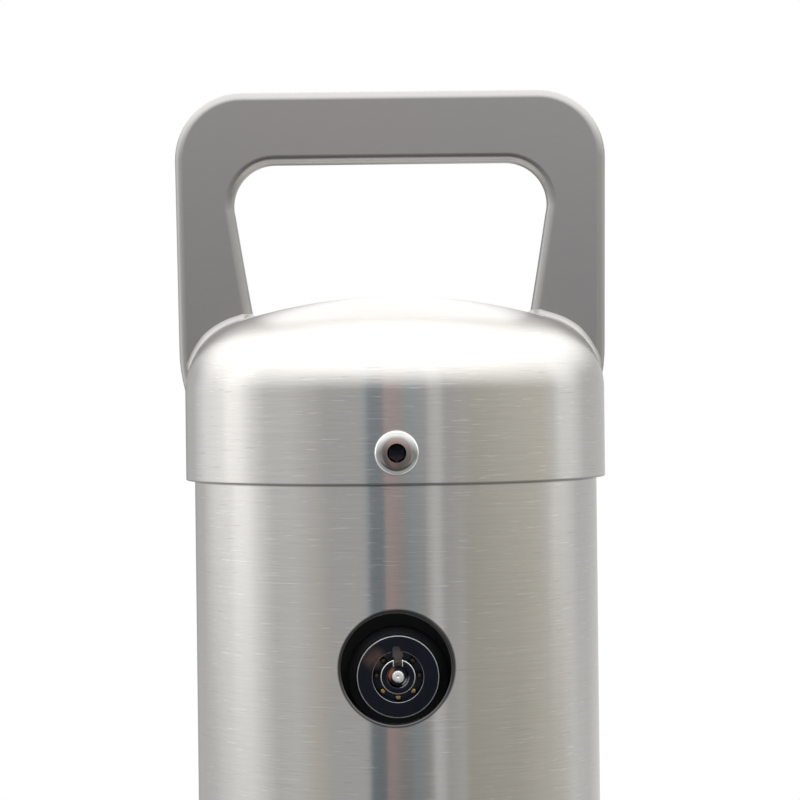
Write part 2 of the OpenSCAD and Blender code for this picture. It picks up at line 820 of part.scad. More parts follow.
// The slots climb outwards at 45 degrees, so the plate's fall equals the bolts' throw
module cam_plate() {
    slot_r = drive_pin_r + cam_slack;
    color("gray") difference() {
        union() {
            rod_tab(cam_top - tab_t, cam_y - cam_t + eps);
            translate([-cam_half_w, cam_y - cam_t, bolt_z - cam_below])
                cube([2 * cam_half_w, cam_t, cam_below + cam_above]);
        }
        for (side = [0, 1]) mirror([side, 0, 0]) translate([drive_pin_x, 0, bolt_z]) {
            bar_y(slot_r, -far, 0);
            translate([bolt_throw, 0, bolt_throw]) bar_y(slot_r, -far, 0);
            rotate([0, -45, 0]) translate([0, -far, 0.05 - slot_r])
                cube([bolt_throw * sqrt(2), far, 2 * slot_r - 0.1]);
        }
    }
}

module bolt(side) {
    color("gainsboro") translate([0, 0, bolt_z]) scale([side, 1, 1]) difference() {
        union() {
            bar_x(bolt_r, bolt_in, bolt_tip - 1.5);
            translate([bolt_tip - 1.5, 0, 0]) rotate([0, 90, 0]) cylinder(r1 = bolt_r, r2 = bolt_r - 1.5, h = 1.5);
        }
        translate([drive_pin_x, 0, 0]) bar_y(drive_pin_r + thread_gap, -far, far);
    }
}

module drive_pin(side) {
    color("whitesmoke") translate([side * drive_pin_x, 0, bolt_z]) bar_y(drive_pin_r, cam_y - cam_t - 1, 6);
}

module left_bolt() {
    bolt(-1);
}

module left_drive_pin() {
    drive_pin(-1);
}

module right_bolt() {
    bolt(1);
}

module right_drive_pin() {
    drive_pin(1);
}

module bolt_guides() {
    color("gray") for (side = [0, 1]) mirror([side, 0, 0]) intersection() {
        translate([0, 0, bolt_z]) difference() {
            bar_x(bolt_guide_r, bolt_guide_in, post_r);
            bar_x(bolt_r + rod_run, 0, far);
        }
        translate([0, 0, bolt_z - 30]) cylinder(r = post_r, h = 60);
    }
}

module draw_rod_guide() {
    z = (yoke_tab_z + cam_top) / 2 - 40;
    color("gray") difference() {
        intersection() {
            translate([-16, -post_r, z]) cube([32, post_r + draw_y + 9, 4]);
            translate([0, 0, z - 1]) cylinder(r = post_in, h = 8);
        }
        translate([0, draw_y, z - 1]) cylinder(r = draw_rod_r + 2, h = 8);
    }
}

module draw_rod_bushes() {
    guide_z = (yoke_tab_z + cam_top) / 2 - 40;
    color("white") for (span = [[guide_z, 4], [bulkhead_z, bulkhead_t]]) translate([0, draw_y, span[0]])
        difference() {
            union() {
                translate([0, 0, -1]) cylinder(r = draw_rod_r + 2 - thread_gap, h = span[1] + 1);
                translate([0, 0, -1 - eps]) cylinder(r = draw_rod_r + 3.5, h = 1);
            }
            translate([0, 0, -2]) cylinder(r = draw_rod_r + rod_run, h = span[1] + 4);
        }
}

module bulkhead() {
    color("gray") difference() {
        translate([0, 0, bulkhead_z]) cylinder(r = post_in, h = bulkhead_t);
        translate([0, draw_y, bulkhead_z - 1]) cylinder(r = draw_rod_r + 2, h = bulkhead_t + 2);
        around([45 : 90 : 315]) translate([34, 0, bulkhead_z - 1]) cylinder(r = 5, h = bulkhead_t + 2);
    }
}

module upper_clevis() {
    color("dimgray") clevis(upper_pin_z, bulkhead_z);
}

module upper_clevis_pin() {
    color("gainsboro") clevis_pin(upper_pin_z);
}

module upper_pin_clip() {
    color("gray") pin_clip(upper_pin_z);
}

// ---- Foot of the post ----

module stop_ring() {
    color("gray") difference() {
        tube(foot_r, post_r, stop_top - stop_ring_h, stop_top);
        rail_slot();
    }
}

module rebound_ring() {
    color("black") difference() {
        tube(foot_r, post_r, stop_top, stop_top + rebound_h);
        rail_slot();
    }
}

module foot_plate() {
    color("gray") difference() {
        translate([0, 0, -post_tail - foot_t]) cylinder(r = foot_r, h = foot_t);
        translate([0, 0, -post_tail - foot_t - 1]) cylinder(r = cylinder_r + seat_gap, h = foot_t + 2);
        around(foot_screw_angles) translate([foot_block_pcd_r, 0, -post_tail - foot_t]) {
            translate([0, 0, -1]) cylinder(r = m6_r + screw_gap, h = foot_t + 2);
            translate([0, 0, -1]) cylinder(r = cap_head_r + screw_gap, h = 5);
        }
        rail_slot();
    }
}

module foot_blocks() {
    color("dimgray") around(foot_screw_angles) intersection() {
        difference() {
            translate([foot_block_pcd_r - foot_block_r, -foot_block_r, -post_tail])
                cube([3 * foot_block_r, 2 * foot_block_r, foot_block_h]);
            translate([foot_block_pcd_r, 0, -post_tail - 1]) cylinder(r = m6_r + thread_gap, h = foot_block_h + 2);
        }
        translate([0, 0, -post_tail - 1]) cylinder(r = post_in, h = foot_block_h + 2);
    }
}

module foot_screws() {
    color("gainsboro") around(foot_screw_angles) translate([foot_block_pcd_r, 0, -post_tail - foot_t]) difference() {
        union() {
            translate([0, 0, 0.7]) cylinder(r = cap_head_r, h = cap_head_h);
            translate([0, 0, 4]) cylinder(r = m6_r, h = 16);
        }
        translate([0, 0, -1]) cylinder(r = cap_socket / sqrt(3), h = 3.5, $fn = 6);
    }
}

casing_tube();
ground_flange();
casing_base();
latch_ring();
lower_latch_ring();
anti_turn_rail();
guide_collar();
upper_guide_bush();
lower_guide_bush();
wiper_seal();
seal_retainer();
collar_screws();
retainer_screws();
base_clevis();
lower_clevis_pin();
lower_pin_clip();
spring_rod();
rod_end_eye();
spring_piston();
post_tube();
cap();
handle();
handle_welds();
cap_screws();
cap_nuts();
lock_cup();
lock_bracket();
lock_barrel();
lock_nut();
bulkhead();
upper_clevis();
upper_clevis_pin();
upper_pin_clip();
spring_cylinder();
cylinder_eye();
spring_gland();
draw_rod_guide();
draw_rod_bushes();
stop_ring();
rebound_ring();
foot_plate();
foot_blocks();
foot_screws();
bolt_guides();
lock_core();
centre_pin();
crank();
crank_screw();
key_pins();
draw_rod();
yoke();
draw_rod_nuts();
cam_plate();
left_bolt();
left_drive_pin();
right_bolt();
right_drive_pin();
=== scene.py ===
# %% [markdown]
# # A lift-up security post, dressed for its portrait
#
# The object is a steel parking post that telescopes into a buried casing. A
# gas spring lifts it, and a round key lock on its front throws two bolts that
# hold it up. The engineering model is finished and fixed. This lesson gives it
# surfaces: pieces whose edges catch the light are remade here as finer meshes,
# and every other piece keeps its mesh and gets a soft edge and a finish.

import json
import math

import bmesh
import bpy
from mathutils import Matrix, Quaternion, Vector


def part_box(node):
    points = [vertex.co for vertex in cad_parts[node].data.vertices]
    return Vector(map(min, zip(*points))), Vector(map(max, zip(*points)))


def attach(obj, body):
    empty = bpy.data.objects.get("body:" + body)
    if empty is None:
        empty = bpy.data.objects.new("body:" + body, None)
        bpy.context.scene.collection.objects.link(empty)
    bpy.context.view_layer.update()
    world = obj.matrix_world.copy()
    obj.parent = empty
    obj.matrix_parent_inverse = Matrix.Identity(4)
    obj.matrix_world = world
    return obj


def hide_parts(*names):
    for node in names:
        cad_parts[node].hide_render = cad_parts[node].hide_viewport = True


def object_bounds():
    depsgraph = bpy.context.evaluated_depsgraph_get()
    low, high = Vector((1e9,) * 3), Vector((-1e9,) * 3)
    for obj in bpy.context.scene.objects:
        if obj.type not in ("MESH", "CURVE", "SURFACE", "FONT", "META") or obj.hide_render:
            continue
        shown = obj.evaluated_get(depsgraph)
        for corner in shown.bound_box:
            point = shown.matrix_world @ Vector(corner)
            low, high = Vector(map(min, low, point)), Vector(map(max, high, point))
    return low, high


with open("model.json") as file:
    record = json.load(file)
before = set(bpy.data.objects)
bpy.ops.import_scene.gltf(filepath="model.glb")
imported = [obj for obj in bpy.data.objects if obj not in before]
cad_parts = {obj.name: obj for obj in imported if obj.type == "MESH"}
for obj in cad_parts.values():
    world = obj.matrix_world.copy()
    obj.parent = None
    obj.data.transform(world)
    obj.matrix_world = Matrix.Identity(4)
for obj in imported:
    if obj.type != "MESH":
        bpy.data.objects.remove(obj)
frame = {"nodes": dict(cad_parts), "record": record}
nodes = frame["nodes"]
cad_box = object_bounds()

# %% [markdown]
# ## Measures
#
# Lengths are worked out in millimetres, as they would be on a drawing, and are
# turned into metres only when a mesh is made. Most come from the boxes of the
# engineering nodes, so a piece can't drift from the part that it stands for.

# %% Measures from the model
MM = 0.001


def box_mm(node):
    low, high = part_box(node)
    return low / MM, high / MM


tube_low, tube_high = box_mm("post_tube")
cap_low, cap_high = box_mm("cap")
handle_high = box_mm("handle")[1]
barrel_low, barrel_high = box_mm("lock_barrel")
bolt_low, bolt_high = box_mm("left_bolt")
post_r = tube_high.x
cap_r = cap_high.x
face_y = barrel_low.y
lock_z = (barrel_low.z + barrel_high.z) / 2
bolt_z = (bolt_low.z + bolt_high.z) / 2
print(f"post radius {post_r:.1f} mm, cap radius {cap_r:.1f} mm, lock at {lock_z:.1f} mm")

# %% [markdown]
# A box says nothing about a radius or a wall. Those are listed here, with the
# shape of the dome that follows from them: a large radius over the middle, and
# a small one, the knuckle, that turns it down into the straight skirt.

# %% Measures that a box can't give
POST_WALL = 3.0
CAP_WALL = 2.0
CROWN_R = 135.0  # the dome's large radius
KNUCKLE_R = 18.2  # the small radius between the dome and the skirt
KEYHOLE_RISE = 2.5  # the hole in the post sits this much above the lock's middle
KEYHOLE_R = 13.0
KEYHOLE_TURN = 269.45  # degrees: the hole is drilled a hair to the left
HANDLE_CORNER = 17.0
OPENING_CORNER = 10.5
GRIP_H = 18.25  # height of the handle's top bar

keyhole_z = lock_z + KEYHOLE_RISE
crown_centre = cap_high.z - CROWN_R
knuckle_x = cap_r - KNUCKLE_R
crown_angle = math.asin(knuckle_x / (CROWN_R - KNUCKLE_R))
skirt_top = crown_centre + (CROWN_R - KNUCKLE_R) * math.cos(crown_angle)
join_r = knuckle_x + KNUCKLE_R * math.sin(crown_angle)


def dome_height(radius):
    """Height of the cap's outer surface at a distance from the post's axis."""
    if radius < join_r:
        return crown_centre + math.sqrt(CROWN_R**2 - radius**2)
    reach = min(radius, cap_r) - knuckle_x
    return skirt_top + math.sqrt(max(0.0, KNUCKLE_R**2 - reach**2))


print(f"the skirt starts at {skirt_top:.1f} mm, the crown ends at radius {join_r:.1f} mm")

# %% [markdown]
# ## A small language for shaders
#
# A finish is mostly arithmetic on positions: how far along, how far round, how
# near an edge. Adding each Math node by hand hides that arithmetic, so a small
# class wraps a socket and lets ordinary Python signs build the nodes.

# %% Wires and finishes
class Wire:
    """An output socket that adds a Math node when it is used in arithmetic."""

    def __init__(self, finish, socket):
        self.finish, self.socket = finish, socket

    def side(self, name):
        """Another output of the same node."""
        return Wire(self.finish, self.socket.node.outputs[name])

    def __add__(self, other):
        return self.finish.maths("ADD", self, other)

    __radd__ = __add__

    def __sub__(self, other):
        return self.finish.maths("SUBTRACT", self, other)

    def __rsub__(self, other):
        return self.finish.maths("SUBTRACT", other, self)

    def __mul__(self, other):
        return self.finish.maths("MULTIPLY", self, other)

    __rmul__ = __mul__

    def __truediv__(self, other):
        return self.finish.maths("DIVIDE", self, other)

    def __abs__(self):
        return self.finish.maths("ABSOLUTE", self)


class Finish:
    """A node tree being built: a material's or the world's."""

    def __init__(self, owner):
        owner.use_nodes = True
        self.owner, self.tree = owner, owner.node_tree
        self.tree.nodes.clear()

    def node(self, kind, settings=None, sockets=None, out=0):
        """Any node: its settings go in first, then its sockets' values or links."""
        made = self.tree.nodes.new("ShaderNode" + kind)
        for name, value in (settings or {}).items():
            if name == "stops":
                self.set_stops(made.color_ramp, value)
            else:
                setattr(made, name, value)
        for name, value in (sockets or {}).items():
            if isinstance(value, Wire):
                self.tree.links.new(value.socket, made.inputs[name])
            else:
                made.inputs[name].default_value = value
        return Wire(self, made.outputs[out]) if made.outputs else made

    def set_stops(self, ramp, stops):
        while len(ramp.elements) < len(stops):
            ramp.elements.new(1.0)
        for element, (place, colour) in zip(ramp.elements, stops):
            element.position = place
            element.color = (*colour, 1.0)

    def maths(self, operation, first, second=0.0):
        return self.node("Math", {"operation": operation}, {0: first, 1: second})

    def mix(self, share, first, second):
        """A colour between two colours."""
        ends = [(*end, 1.0) if isinstance(end, tuple) else end for end in (first, second)]
        sockets = {0: share, 6: ends[0], 7: ends[1]}
        return self.node("Mix", {"data_type": "RGBA"}, sockets, out=2)

    def ramp(self, value, low, high, to_low=0.0, to_high=1.0):
        """A value moved from one range to another and kept inside it."""
        limits = {"Value": value, "From Min": low, "From Max": high}
        limits.update({"To Min": to_low, "To Max": to_high})
        return self.node("MapRange", {"interpolation_type": "SMOOTHSTEP"}, limits)

    def span(self, across, up):
        """The distance that two wires at a right angle add up to."""
        return self.maths("SQRT", across * across + up * up)

    def place(self):
        """Position on the object in millimetres, as three wires."""
        point = self.node("TexCoord", out="Object")
        scaled = self.node("VectorMath", {"operation": "SCALE"}, {0: point, "Scale": 1 / MM})
        parts = self.node("SeparateXYZ", None, {0: scaled})
        return parts, parts.side("Y"), parts.side("Z")

    def noise(self, x, y, z, detail=2.0, roughness=0.5):
        """Noise whose grain is as long on each axis as that axis's wire is slow."""
        where = self.node("CombineXYZ", None, {0: x, 1: y, 2: z})
        grain = {"Vector": where, "Scale": 1.0, "Detail": detail, "Roughness": roughness}
        return self.node("TexNoise", None, grain)

    def bump(self, height, depth_mm):
        return self.node("Bump", None, {"Height": height, "Distance": depth_mm * MM})

    def surface(self, colour, roughness, metallic=1.0, normal=None, **fixed):
        """The Principled shader and the output. Fixed values go straight on its sockets."""
        if isinstance(colour, tuple):
            colour = (*colour, 1.0)
        sockets = {"Base Color": colour, "Roughness": roughness, "Metallic": metallic}
        if normal:
            sockets["Normal"] = normal
        sockets.update({name.replace("_", " ").title(): value for name, value in fixed.items()})
        shader = self.node("BsdfPrincipled", None, sockets)
        self.node("OutputMaterial", None, {"Surface": shader})
        return self.owner


def new_finish(name):
    return Finish(bpy.data.materials.new(name))


def shade(colour, share):
    """A colour made lighter or darker by a share."""
    return tuple(channel * share for channel in colour)


# %% [markdown]
# ## Brushed and satin stainless steel
#
# The post and its cap are turned against a belt, so fine scratches run round
# them. Light spreads across the scratches and hardly along them, which is why
# reflections on the tube become tall stripes with clear edges. Two things make
# that here: an anisotropic highlight turned a quarter, and grain that is long
# round the axis and very short along the outline. The dome is brushed in rings,
# so the short direction also counts distance from the axis. On top go a painted
# shadow in the step under the skirt, painted shade on the lip of the lock's
# hole, and a dull halo where the handle's welds were ground.

# %% Brushed stainless
# The last two colours are painted shade: the shadow line under the skirt, and the shade on the
# lip of the lock's hole.
GLINT, SKIRT_SHADOW_DARK, HOLE_SHADE_DARK = (0.85, 0.84, 0.82), (0.05, 0.046, 0.042), (0.045, 0.045, 0.047)


def brushed_round(name, colour, roughness, turned=0.85, grain_depth=0.012):
    made = new_finish(name)
    x, y, z = made.place()
    along = z - 0.8 * made.span(x, y)
    fine = made.noise(x * 0.06, y * 0.06, along * 3.6, detail=3.0, roughness=0.65)
    frays = made.noise(x * 0.3, y * 0.3, along * 1.5, detail=2.0, roughness=0.55)
    lines = made.noise(x * 0.11, y * 0.11, along * 2.3 + 40.0, detail=2.0, roughness=0.7)
    scratches = made.ramp(lines, 0.64, 0.7)
    glints = made.ramp(lines, 0.36, 0.3)
    hands = made.noise(x * 0.02, y * 0.02, z * 0.025, detail=3.0, roughness=0.55)
    tone = made.mix(fine, shade(colour, 0.91), shade(colour, 1.08))
    tone = made.mix(scratches * 0.3, tone, shade(colour, 0.6))
    tone = made.mix(glints * 0.45, tone, GLINT)
    # Painted shadow: a dark line on the post just under the skirt, which also darkens the skirt's
    # lower edge.
    skirt_shadow_mask = made.ramp(abs(z - (cap_low.z - 0.05)), 0.12, 0.6, 0.7, 0.0)
    tone = made.mix(skirt_shadow_mask, tone, SKIRT_SHADOW_DARK)
    # Painted shade on the lip and the wall of the lock's hole, reaching further towards the upper
    # right, on the front half only.
    across, up = x - post_r * math.cos(math.radians(KEYHOLE_TURN)), z - keyhole_z
    wider_right = made.maths("MAXIMUM", (x + up) * 0.025, 0.0)
    from_hole = made.span(across, up) - wider_right
    hole_shade_mask = made.ramp(from_hole, KEYHOLE_R + 1.0, KEYHOLE_R + 0.5) * made.ramp(y, 0.0, -20.0)
    tone = made.mix(hole_shade_mask * 0.93, tone, HOLE_SHADE_DARK)
    crown = made.ramp(z, skirt_top + 3.0, skirt_top + 13.0)
    by_feet = made.ramp(abs(y), 13.0, 5.0) * made.ramp(abs(x), 32.0, 38.0)
    halo = by_feet * made.ramp(z, skirt_top + 2.0, skirt_top + 6.0)
    rough = roughness - 0.035 + crown * 0.2 + halo * 0.28
    rough = rough + fine * 0.05 + hands * 0.04 + scratches * 0.05
    normal = made.bump(frays * 0.75 + fine * 0.15 + (scratches - glints) * 0.2, grain_depth)
    return made.surface(tone, rough, 1.0, normal, anisotropic=turned, anisotropic_rotation=0.25)


STEEL = (0.63, 0.615, 0.59)
finishes = {"brushed_stainless": brushed_round("brushed_stainless", STEEL, 0.13)}
print("first finish made:", list(finishes))

# %% [markdown]
# The handle is a laser-cut plate that is finished by hand with a fine pad, so
# its sheen has no direction. Short random scratches and faint cloudy patches
# keep it from looking moulded. Its welds are ground. Painted shade darkens them
# where they meet the plate, to a little under the plate's own tone, and they
# grow brighter towards the dome.

# %% Satin and ground stainless
def satin(name, colour, roughness, cloud=0.05, scratch=0.1, plate_side_shade=None):
    made = new_finish(name)
    x, y, z = made.place()
    cloudy = made.noise(x * 0.03, y * 0.03, z * 0.03, detail=4.0, roughness=0.6)
    pad = made.noise(x * 0.25, y * 2.0, z * 3.4, detail=3.0, roughness=0.65)
    stray = made.noise(x * 0.9 + z * 0.5, y, z * 2.6 - x * 1.7, detail=2.0, roughness=0.7)
    marks = made.ramp(stray, 0.67, 0.76)
    tone = made.mix(pad, shade(colour, 0.95), shade(colour, 1.05))
    tone = made.mix(cloudy * cloud * 2.0, tone, shade(colour, 0.8))
    # Painted shade: the weld darkens to a little under the plate's tone where it meets the plate.
    if plate_side_shade:
        plate_side_shade_mask = made.ramp(abs(y), handle_high.y + 1.0, handle_high.y + 0.1)
        tone = made.mix(plate_side_shade_mask, tone, plate_side_shade)
    rough = roughness - 0.03 + pad * 0.05 + cloudy * cloud
    normal = made.bump(pad + marks * 0.5, 0.0012 * (1 + scratch))
    return made.surface(tone, rough, 1.0, normal)


PLATE = (0.382, 0.374, 0.367)
finishes["satin_stainless"] = satin("satin_stainless", PLATE, 0.28)
finishes["ground_weld"] = satin(
    "ground_weld", (0.6, 0.59, 0.57), 0.3, cloud=0.12, plate_side_shade=shade(PLATE, 0.85)
)
finishes["polished_stainless"] = satin("polished_stainless", (0.74, 0.73, 0.72), 0.1, cloud=0.03)
print("stainless finishes:", list(finishes))

# %% [markdown]
# The cap's screws are polished. A warm band round each socket is a painted
# reflection, the bright rim and a bright ring at the socket's mouth are painted
# highlights, and the dark socket itself is painted shade. The three screws
# share one finish, so positions are first folded onto a single screw.

# %% Screw steel
screw_low, screw_high = box_mm("cap_screws")
screw_z = (screw_low.z + screw_high.z) / 2
SOCKET_R, BAND_R = 2.05, 3.6
SCREW_TURN = 0.3  # degrees that the screws sit round from the front


def screw_steel(name):
    """Rings on a screw head, whichever of the three screws it is."""
    made = new_finish(name)
    x, y, z = made.place()
    third = 2 * math.pi / 3
    turn = made.maths("ARCTAN2", y, x) + math.pi / 2 + third / 2 - math.radians(SCREW_TURN)
    turn = made.maths("FLOORED_MODULO", turn, third) - third / 2
    sideways = made.span(x, y) * made.maths("SINE", turn)
    radius = made.span(sideways, z - screw_z)
    smudge = made.noise(x * 0.6, y * 0.6, z * 0.6, detail=3.0)
    tone = made.mix(smudge, (0.36, 0.37, 0.36), (0.46, 0.46, 0.45))
    # Painted highlight: the head's rim is bright.
    tone = made.mix(made.ramp(radius, 4.75, 5.0), tone, (0.85, 0.85, 0.85))
    # Painted reflection: a warm band round the socket.
    band = made.ramp(radius, BAND_R + 0.1, BAND_R - 0.15)
    tone = made.mix(band, tone, made.mix(smudge, (0.4, 0.31, 0.28), (0.52, 0.42, 0.39)))
    # Painted highlight: a bright ring at the socket's mouth.
    mouth = made.ramp(abs(radius - SOCKET_R - 0.1), 0.13, 0.05)
    tone = made.mix(mouth * 0.8, tone, (0.9, 0.86, 0.82))
    # Painted shade: the socket is nearly black.
    inside = made.ramp(radius, SOCKET_R + 0.02, SOCKET_R - 0.08)
    tone = made.mix(inside, tone, (0.02, 0.02, 0.025))
    rough = 0.07 + smudge * 0.06 + inside * 0.35
    return made.surface(tone, rough, 1.0, made.bump(smudge, 0.003))


finishes["cap_screw_steel"] = screw_steel("cap_screw_steel")
print("screw sockets", 2 * SOCKET_R, "mm across in a band of", 2 * BAND_R, "mm")

# %% [markdown]
# ## The lock's black chrome
#
# The lock is plated black and polished. Its rims catch the light, so painted
# highlights go on as thin bright rings: round the face, round the key slot and
# round the core. Each ring is a band at its own distance from the lock's axis.
# Half of the dish in the core is a painted crescent highlight and half is
# copper-coloured, and a warm painted reflection lies on the upper left of the face.

# %% Black chrome with painted rim highlights
RIM_HIGHLIGHTS = [(9.72, 0.19, 0.85), (6.02, 0.2, 0.3), (4.12, 0.24, 1.0)]  # radius, width, strength
DISH_R = 2.62
COPPER = (0.55, 0.29, 0.17)


def black_chrome(name):
    made = new_finish(name)
    x, y, z = made.place()
    up = z - lock_z
    radius = made.span(x, up)
    behind_face = y - face_y
    at_face = made.ramp(behind_face, 0.55, 0.25)
    in_dish = made.ramp(radius, DISH_R + 0.1, DISH_R - 0.1) * made.ramp(behind_face, 5.0, 4.0)
    # Painted highlight: a bright crescent over half of the dish. The other half is made
    # copper-coloured further down.
    painted_highlights = in_dish * made.ramp(x * 0.8 - up * 0.6, 1.7, 2.3) * 0.9
    # Painted highlights: thin bright rings on the rims, and bright lines along the notch's edges
    # in the core.
    for ring, width, share in RIM_HIGHLIGHTS:
        near = made.ramp(abs(radius - ring), width * 0.55, width, share, 0.0)
        painted_highlights = made.maths("MAXIMUM", painted_highlights, near * at_face)
    on_core = made.ramp(up, 2.3, 2.5) * made.ramp(radius, 4.4, 4.2)
    slot_edge = made.ramp(abs(abs(x) - 1.05), 0.17, 0.06) * on_core
    painted_highlights = made.maths("MAXIMUM", painted_highlights, slot_edge * at_face)
    slot = made.ramp(abs(x), 1.3, 1.1) * made.ramp(up, 2.3, 2.6) * made.ramp(up, 7.5, 7.2)
    slot = slot * made.ramp(behind_face, 0.1, 0.5)
    smear = made.noise(x * 0.25, y * 0.25, z * 0.25, detail=3.0)
    tone = made.mix(smear, (0.018, 0.026, 0.042), (0.036, 0.042, 0.056))
    # Painted reflection: a warm spot on the upper left of the face.
    from_warm_reflection = made.span(x + 5.6, up - 4.4)
    tone = made.mix(made.ramp(from_warm_reflection, 3.6, 0.6) * smear * 1.1, tone, (0.3, 0.21, 0.18))
    bevel_zone = made.ramp(radius, 9.85, 10.2)
    tone = made.mix(bevel_zone, tone, (0.11, 0.115, 0.125))
    # The notch's walls are paler: partly unplated metal, partly painted light that offsets the
    # shade deep in the notch.
    tone = made.mix(slot * 0.9, tone, (0.3, 0.275, 0.255))
    tone = made.mix(in_dish * made.ramp(up * 0.4 - x, 1.2, 2.0) * 0.85, tone, COPPER)
    tone = made.mix(painted_highlights, tone, (0.9, 0.9, 0.88))
    rough = 0.13 + smear * 0.08 + slot * 0.3 + bevel_zone * 0.22 + painted_highlights * 0.2
    return made.surface(tone, rough, 1.0, made.bump(smear, 0.004))


finishes["black_chrome"] = black_chrome("black_chrome")
print("painted rim highlights at", [ring for ring, _, _ in RIM_HIGHLIGHTS], "mm from the lock's axis")

# %% [markdown]
# ## Finishes below ground
#
# The casing is hot-dip galvanised: zinc freezes in flat crystals, called
# spangle, each with its own grey. Voronoi cells give exactly that. The inner
# brackets are plain machined steel under a film of oil, and small hardware is
# zinc plated, which is smoother and a touch blue.

# %% Galvanised, machined and plated steel
def galvanised(name, colour):
    made = new_finish(name)
    x, y, z = made.place()
    point = made.node("CombineXYZ", None, {0: x, 1: y, 2: z})
    crystal = made.node("TexVoronoi", None, {"Vector": point, "Scale": 0.11}, out="Color")
    grey = made.node("SeparateXYZ", None, {0: crystal})
    dirt = made.noise(x * 0.02, y * 0.02, z * 0.008, detail=4.0, roughness=0.6)
    dull = made.ramp(dirt, 0.45, 0.75)
    tone = made.mix(grey, shade(colour, 0.82), shade(colour, 1.12))
    tone = made.mix(dull * 0.4, tone, (0.4, 0.4, 0.38))
    rough = 0.4 + grey * 0.12 + dull * 0.15
    return made.surface(tone, rough, 0.85, made.bump(grey * 0.4 + dirt * 0.6, 0.02))


def machined(name, colour, roughness, pitch, stain):
    made = new_finish(name)
    x, y, z = made.place()
    tool = made.noise(x * 0.12, y * 0.12, z * pitch, detail=3.0, roughness=0.6)
    oil = made.ramp(made.noise(x * 0.05, y * 0.05, z * 0.05, detail=3.0), 0.45, 0.7)
    tone = made.mix(tool, shade(colour, 0.88), shade(colour, 1.08))
    tone = made.mix(oil * stain, tone, shade(colour, 0.6))
    rough = roughness + tool * 0.08 - oil * 0.06
    return made.surface(tone, rough, 1.0, made.bump(tool, 0.006))


finishes["galvanised_steel"] = galvanised("galvanised_steel", (0.37, 0.385, 0.39))
MACHINED = {  # colour, roughness, how close the tool's lines are, how far oil darkens it
    "mill_steel": ((0.36, 0.355, 0.35), 0.36, 1.1, 0.2),
    "zinc_plated_steel": ((0.62, 0.65, 0.68), 0.26, 1.1, 0.08),
    "spring_clip_steel": ((0.2, 0.22, 0.27), 0.3, 1.1, 0.2),
    "hardened_bright_steel": ((0.66, 0.66, 0.66), 0.16, 3.0, 0.2),
    "bright_chrome": ((0.8, 0.8, 0.79), 0.07, 2.0, 0.05),
    "turned_pin_steel": ((0.95, 0.94, 0.92), 0.42, 3.0, 0.2),
    "brass": ((0.4, 0.28, 0.12), 0.3, 2.0, 0.4),
    "aluminium_alloy": ((0.7, 0.7, 0.71), 0.3, 1.6, 0.2),
}
for name, looks in MACHINED.items():
    finishes[name] = machined(name, *looks)
print(len(MACHINED), "machined and plated finishes")

# %% [markdown]
# The lock's brass pins are seen from their tips only. Their colour holds painted
# light: the lower ones are bright brass, as though lit from above, and the upper
# ones are dark with painted shade.

# %% Brass of the key pins
def pin_brass(name):
    made = new_finish(name)
    x, y, z = made.place()
    oil = made.noise(x * 1.1, y * 1.1, z * 1.1, detail=3.0)
    # Painted light: the lower pins turn bright brass and the upper ones stay dark, as though lit
    # from above.
    lower_pins_lit = made.ramp(z - lock_z, -1.0, -3.4)
    tone = made.mix(oil, (0.05, 0.038, 0.024), (0.09, 0.066, 0.036))
    tone = made.mix(lower_pins_lit, tone, (0.46, 0.31, 0.12))
    return made.surface(tone, 0.4 - lower_pins_lit * 0.12 + oil * 0.1, 1.0, made.bump(oil, 0.004))


finishes["key_pin_brass"] = pin_brass("key_pin_brass")
print(len(finishes), "metal finishes")

# %% [markdown]
# Plastics, rubber and paint are not metals: their colour is in the body and
# their gloss is a thin white layer. What tells them apart is texture. Moulded
# polymer has a fine spark-eroded grain, rubber is matt with a bloom of lighter
# dust, and paint has a soft orange-peel wave.

# %% Polymers, rubber and paint
PALE_DUST = (0.4, 0.4, 0.38)


def moulded(name, colour, roughness, bloom, grain=2.2, depth=0.01):
    made = new_finish(name)
    x, y, z = made.place()
    skin = made.noise(x * grain, y * grain, z * grain, detail=2.0, roughness=0.6)
    dust = made.ramp(made.noise(x * 0.06, y * 0.06, z * 0.06, detail=4.0), 0.5, 0.8)
    tone = made.mix(skin, shade(colour, 0.9), shade(colour, 1.1))
    tone = made.mix(dust * bloom, tone, PALE_DUST)
    rough = roughness + skin * 0.08 + dust * bloom * 0.3
    return made.surface(tone, rough, 0.0, made.bump(skin, depth))


MOULDED = {  # colour, roughness, bloom, then grain and depth where they differ
    "black_polymer": ((0.012, 0.011, 0.011), 0.55, 0.03),
    "white_polymer": ((0.8, 0.79, 0.74), 0.42, 0.1),
    "black_rubber": ((0.02, 0.02, 0.02), 0.68, 0.08, 3.0),
    "black_paint": ((0.015, 0.015, 0.017), 0.22, 0.02, 0.5, 0.02),
}
for name, looks in MOULDED.items():
    finishes[name] = moulded(name, *looks)
print(len(finishes), "finishes")

# %% [markdown]
# ## Tools for making meshes
#
# Most pieces here are turned, so one tool skins rows of points: each row is a
# ring round the axis, and a row of one point closes an end. A second tool
# rounds the corners of an outline, because a real edge is never perfectly sharp
# and a rounded edge is what catches the light.

# %% Outlines and skins
SIDE_SHARE = 0.48  # a rounded corner takes less than half of either side


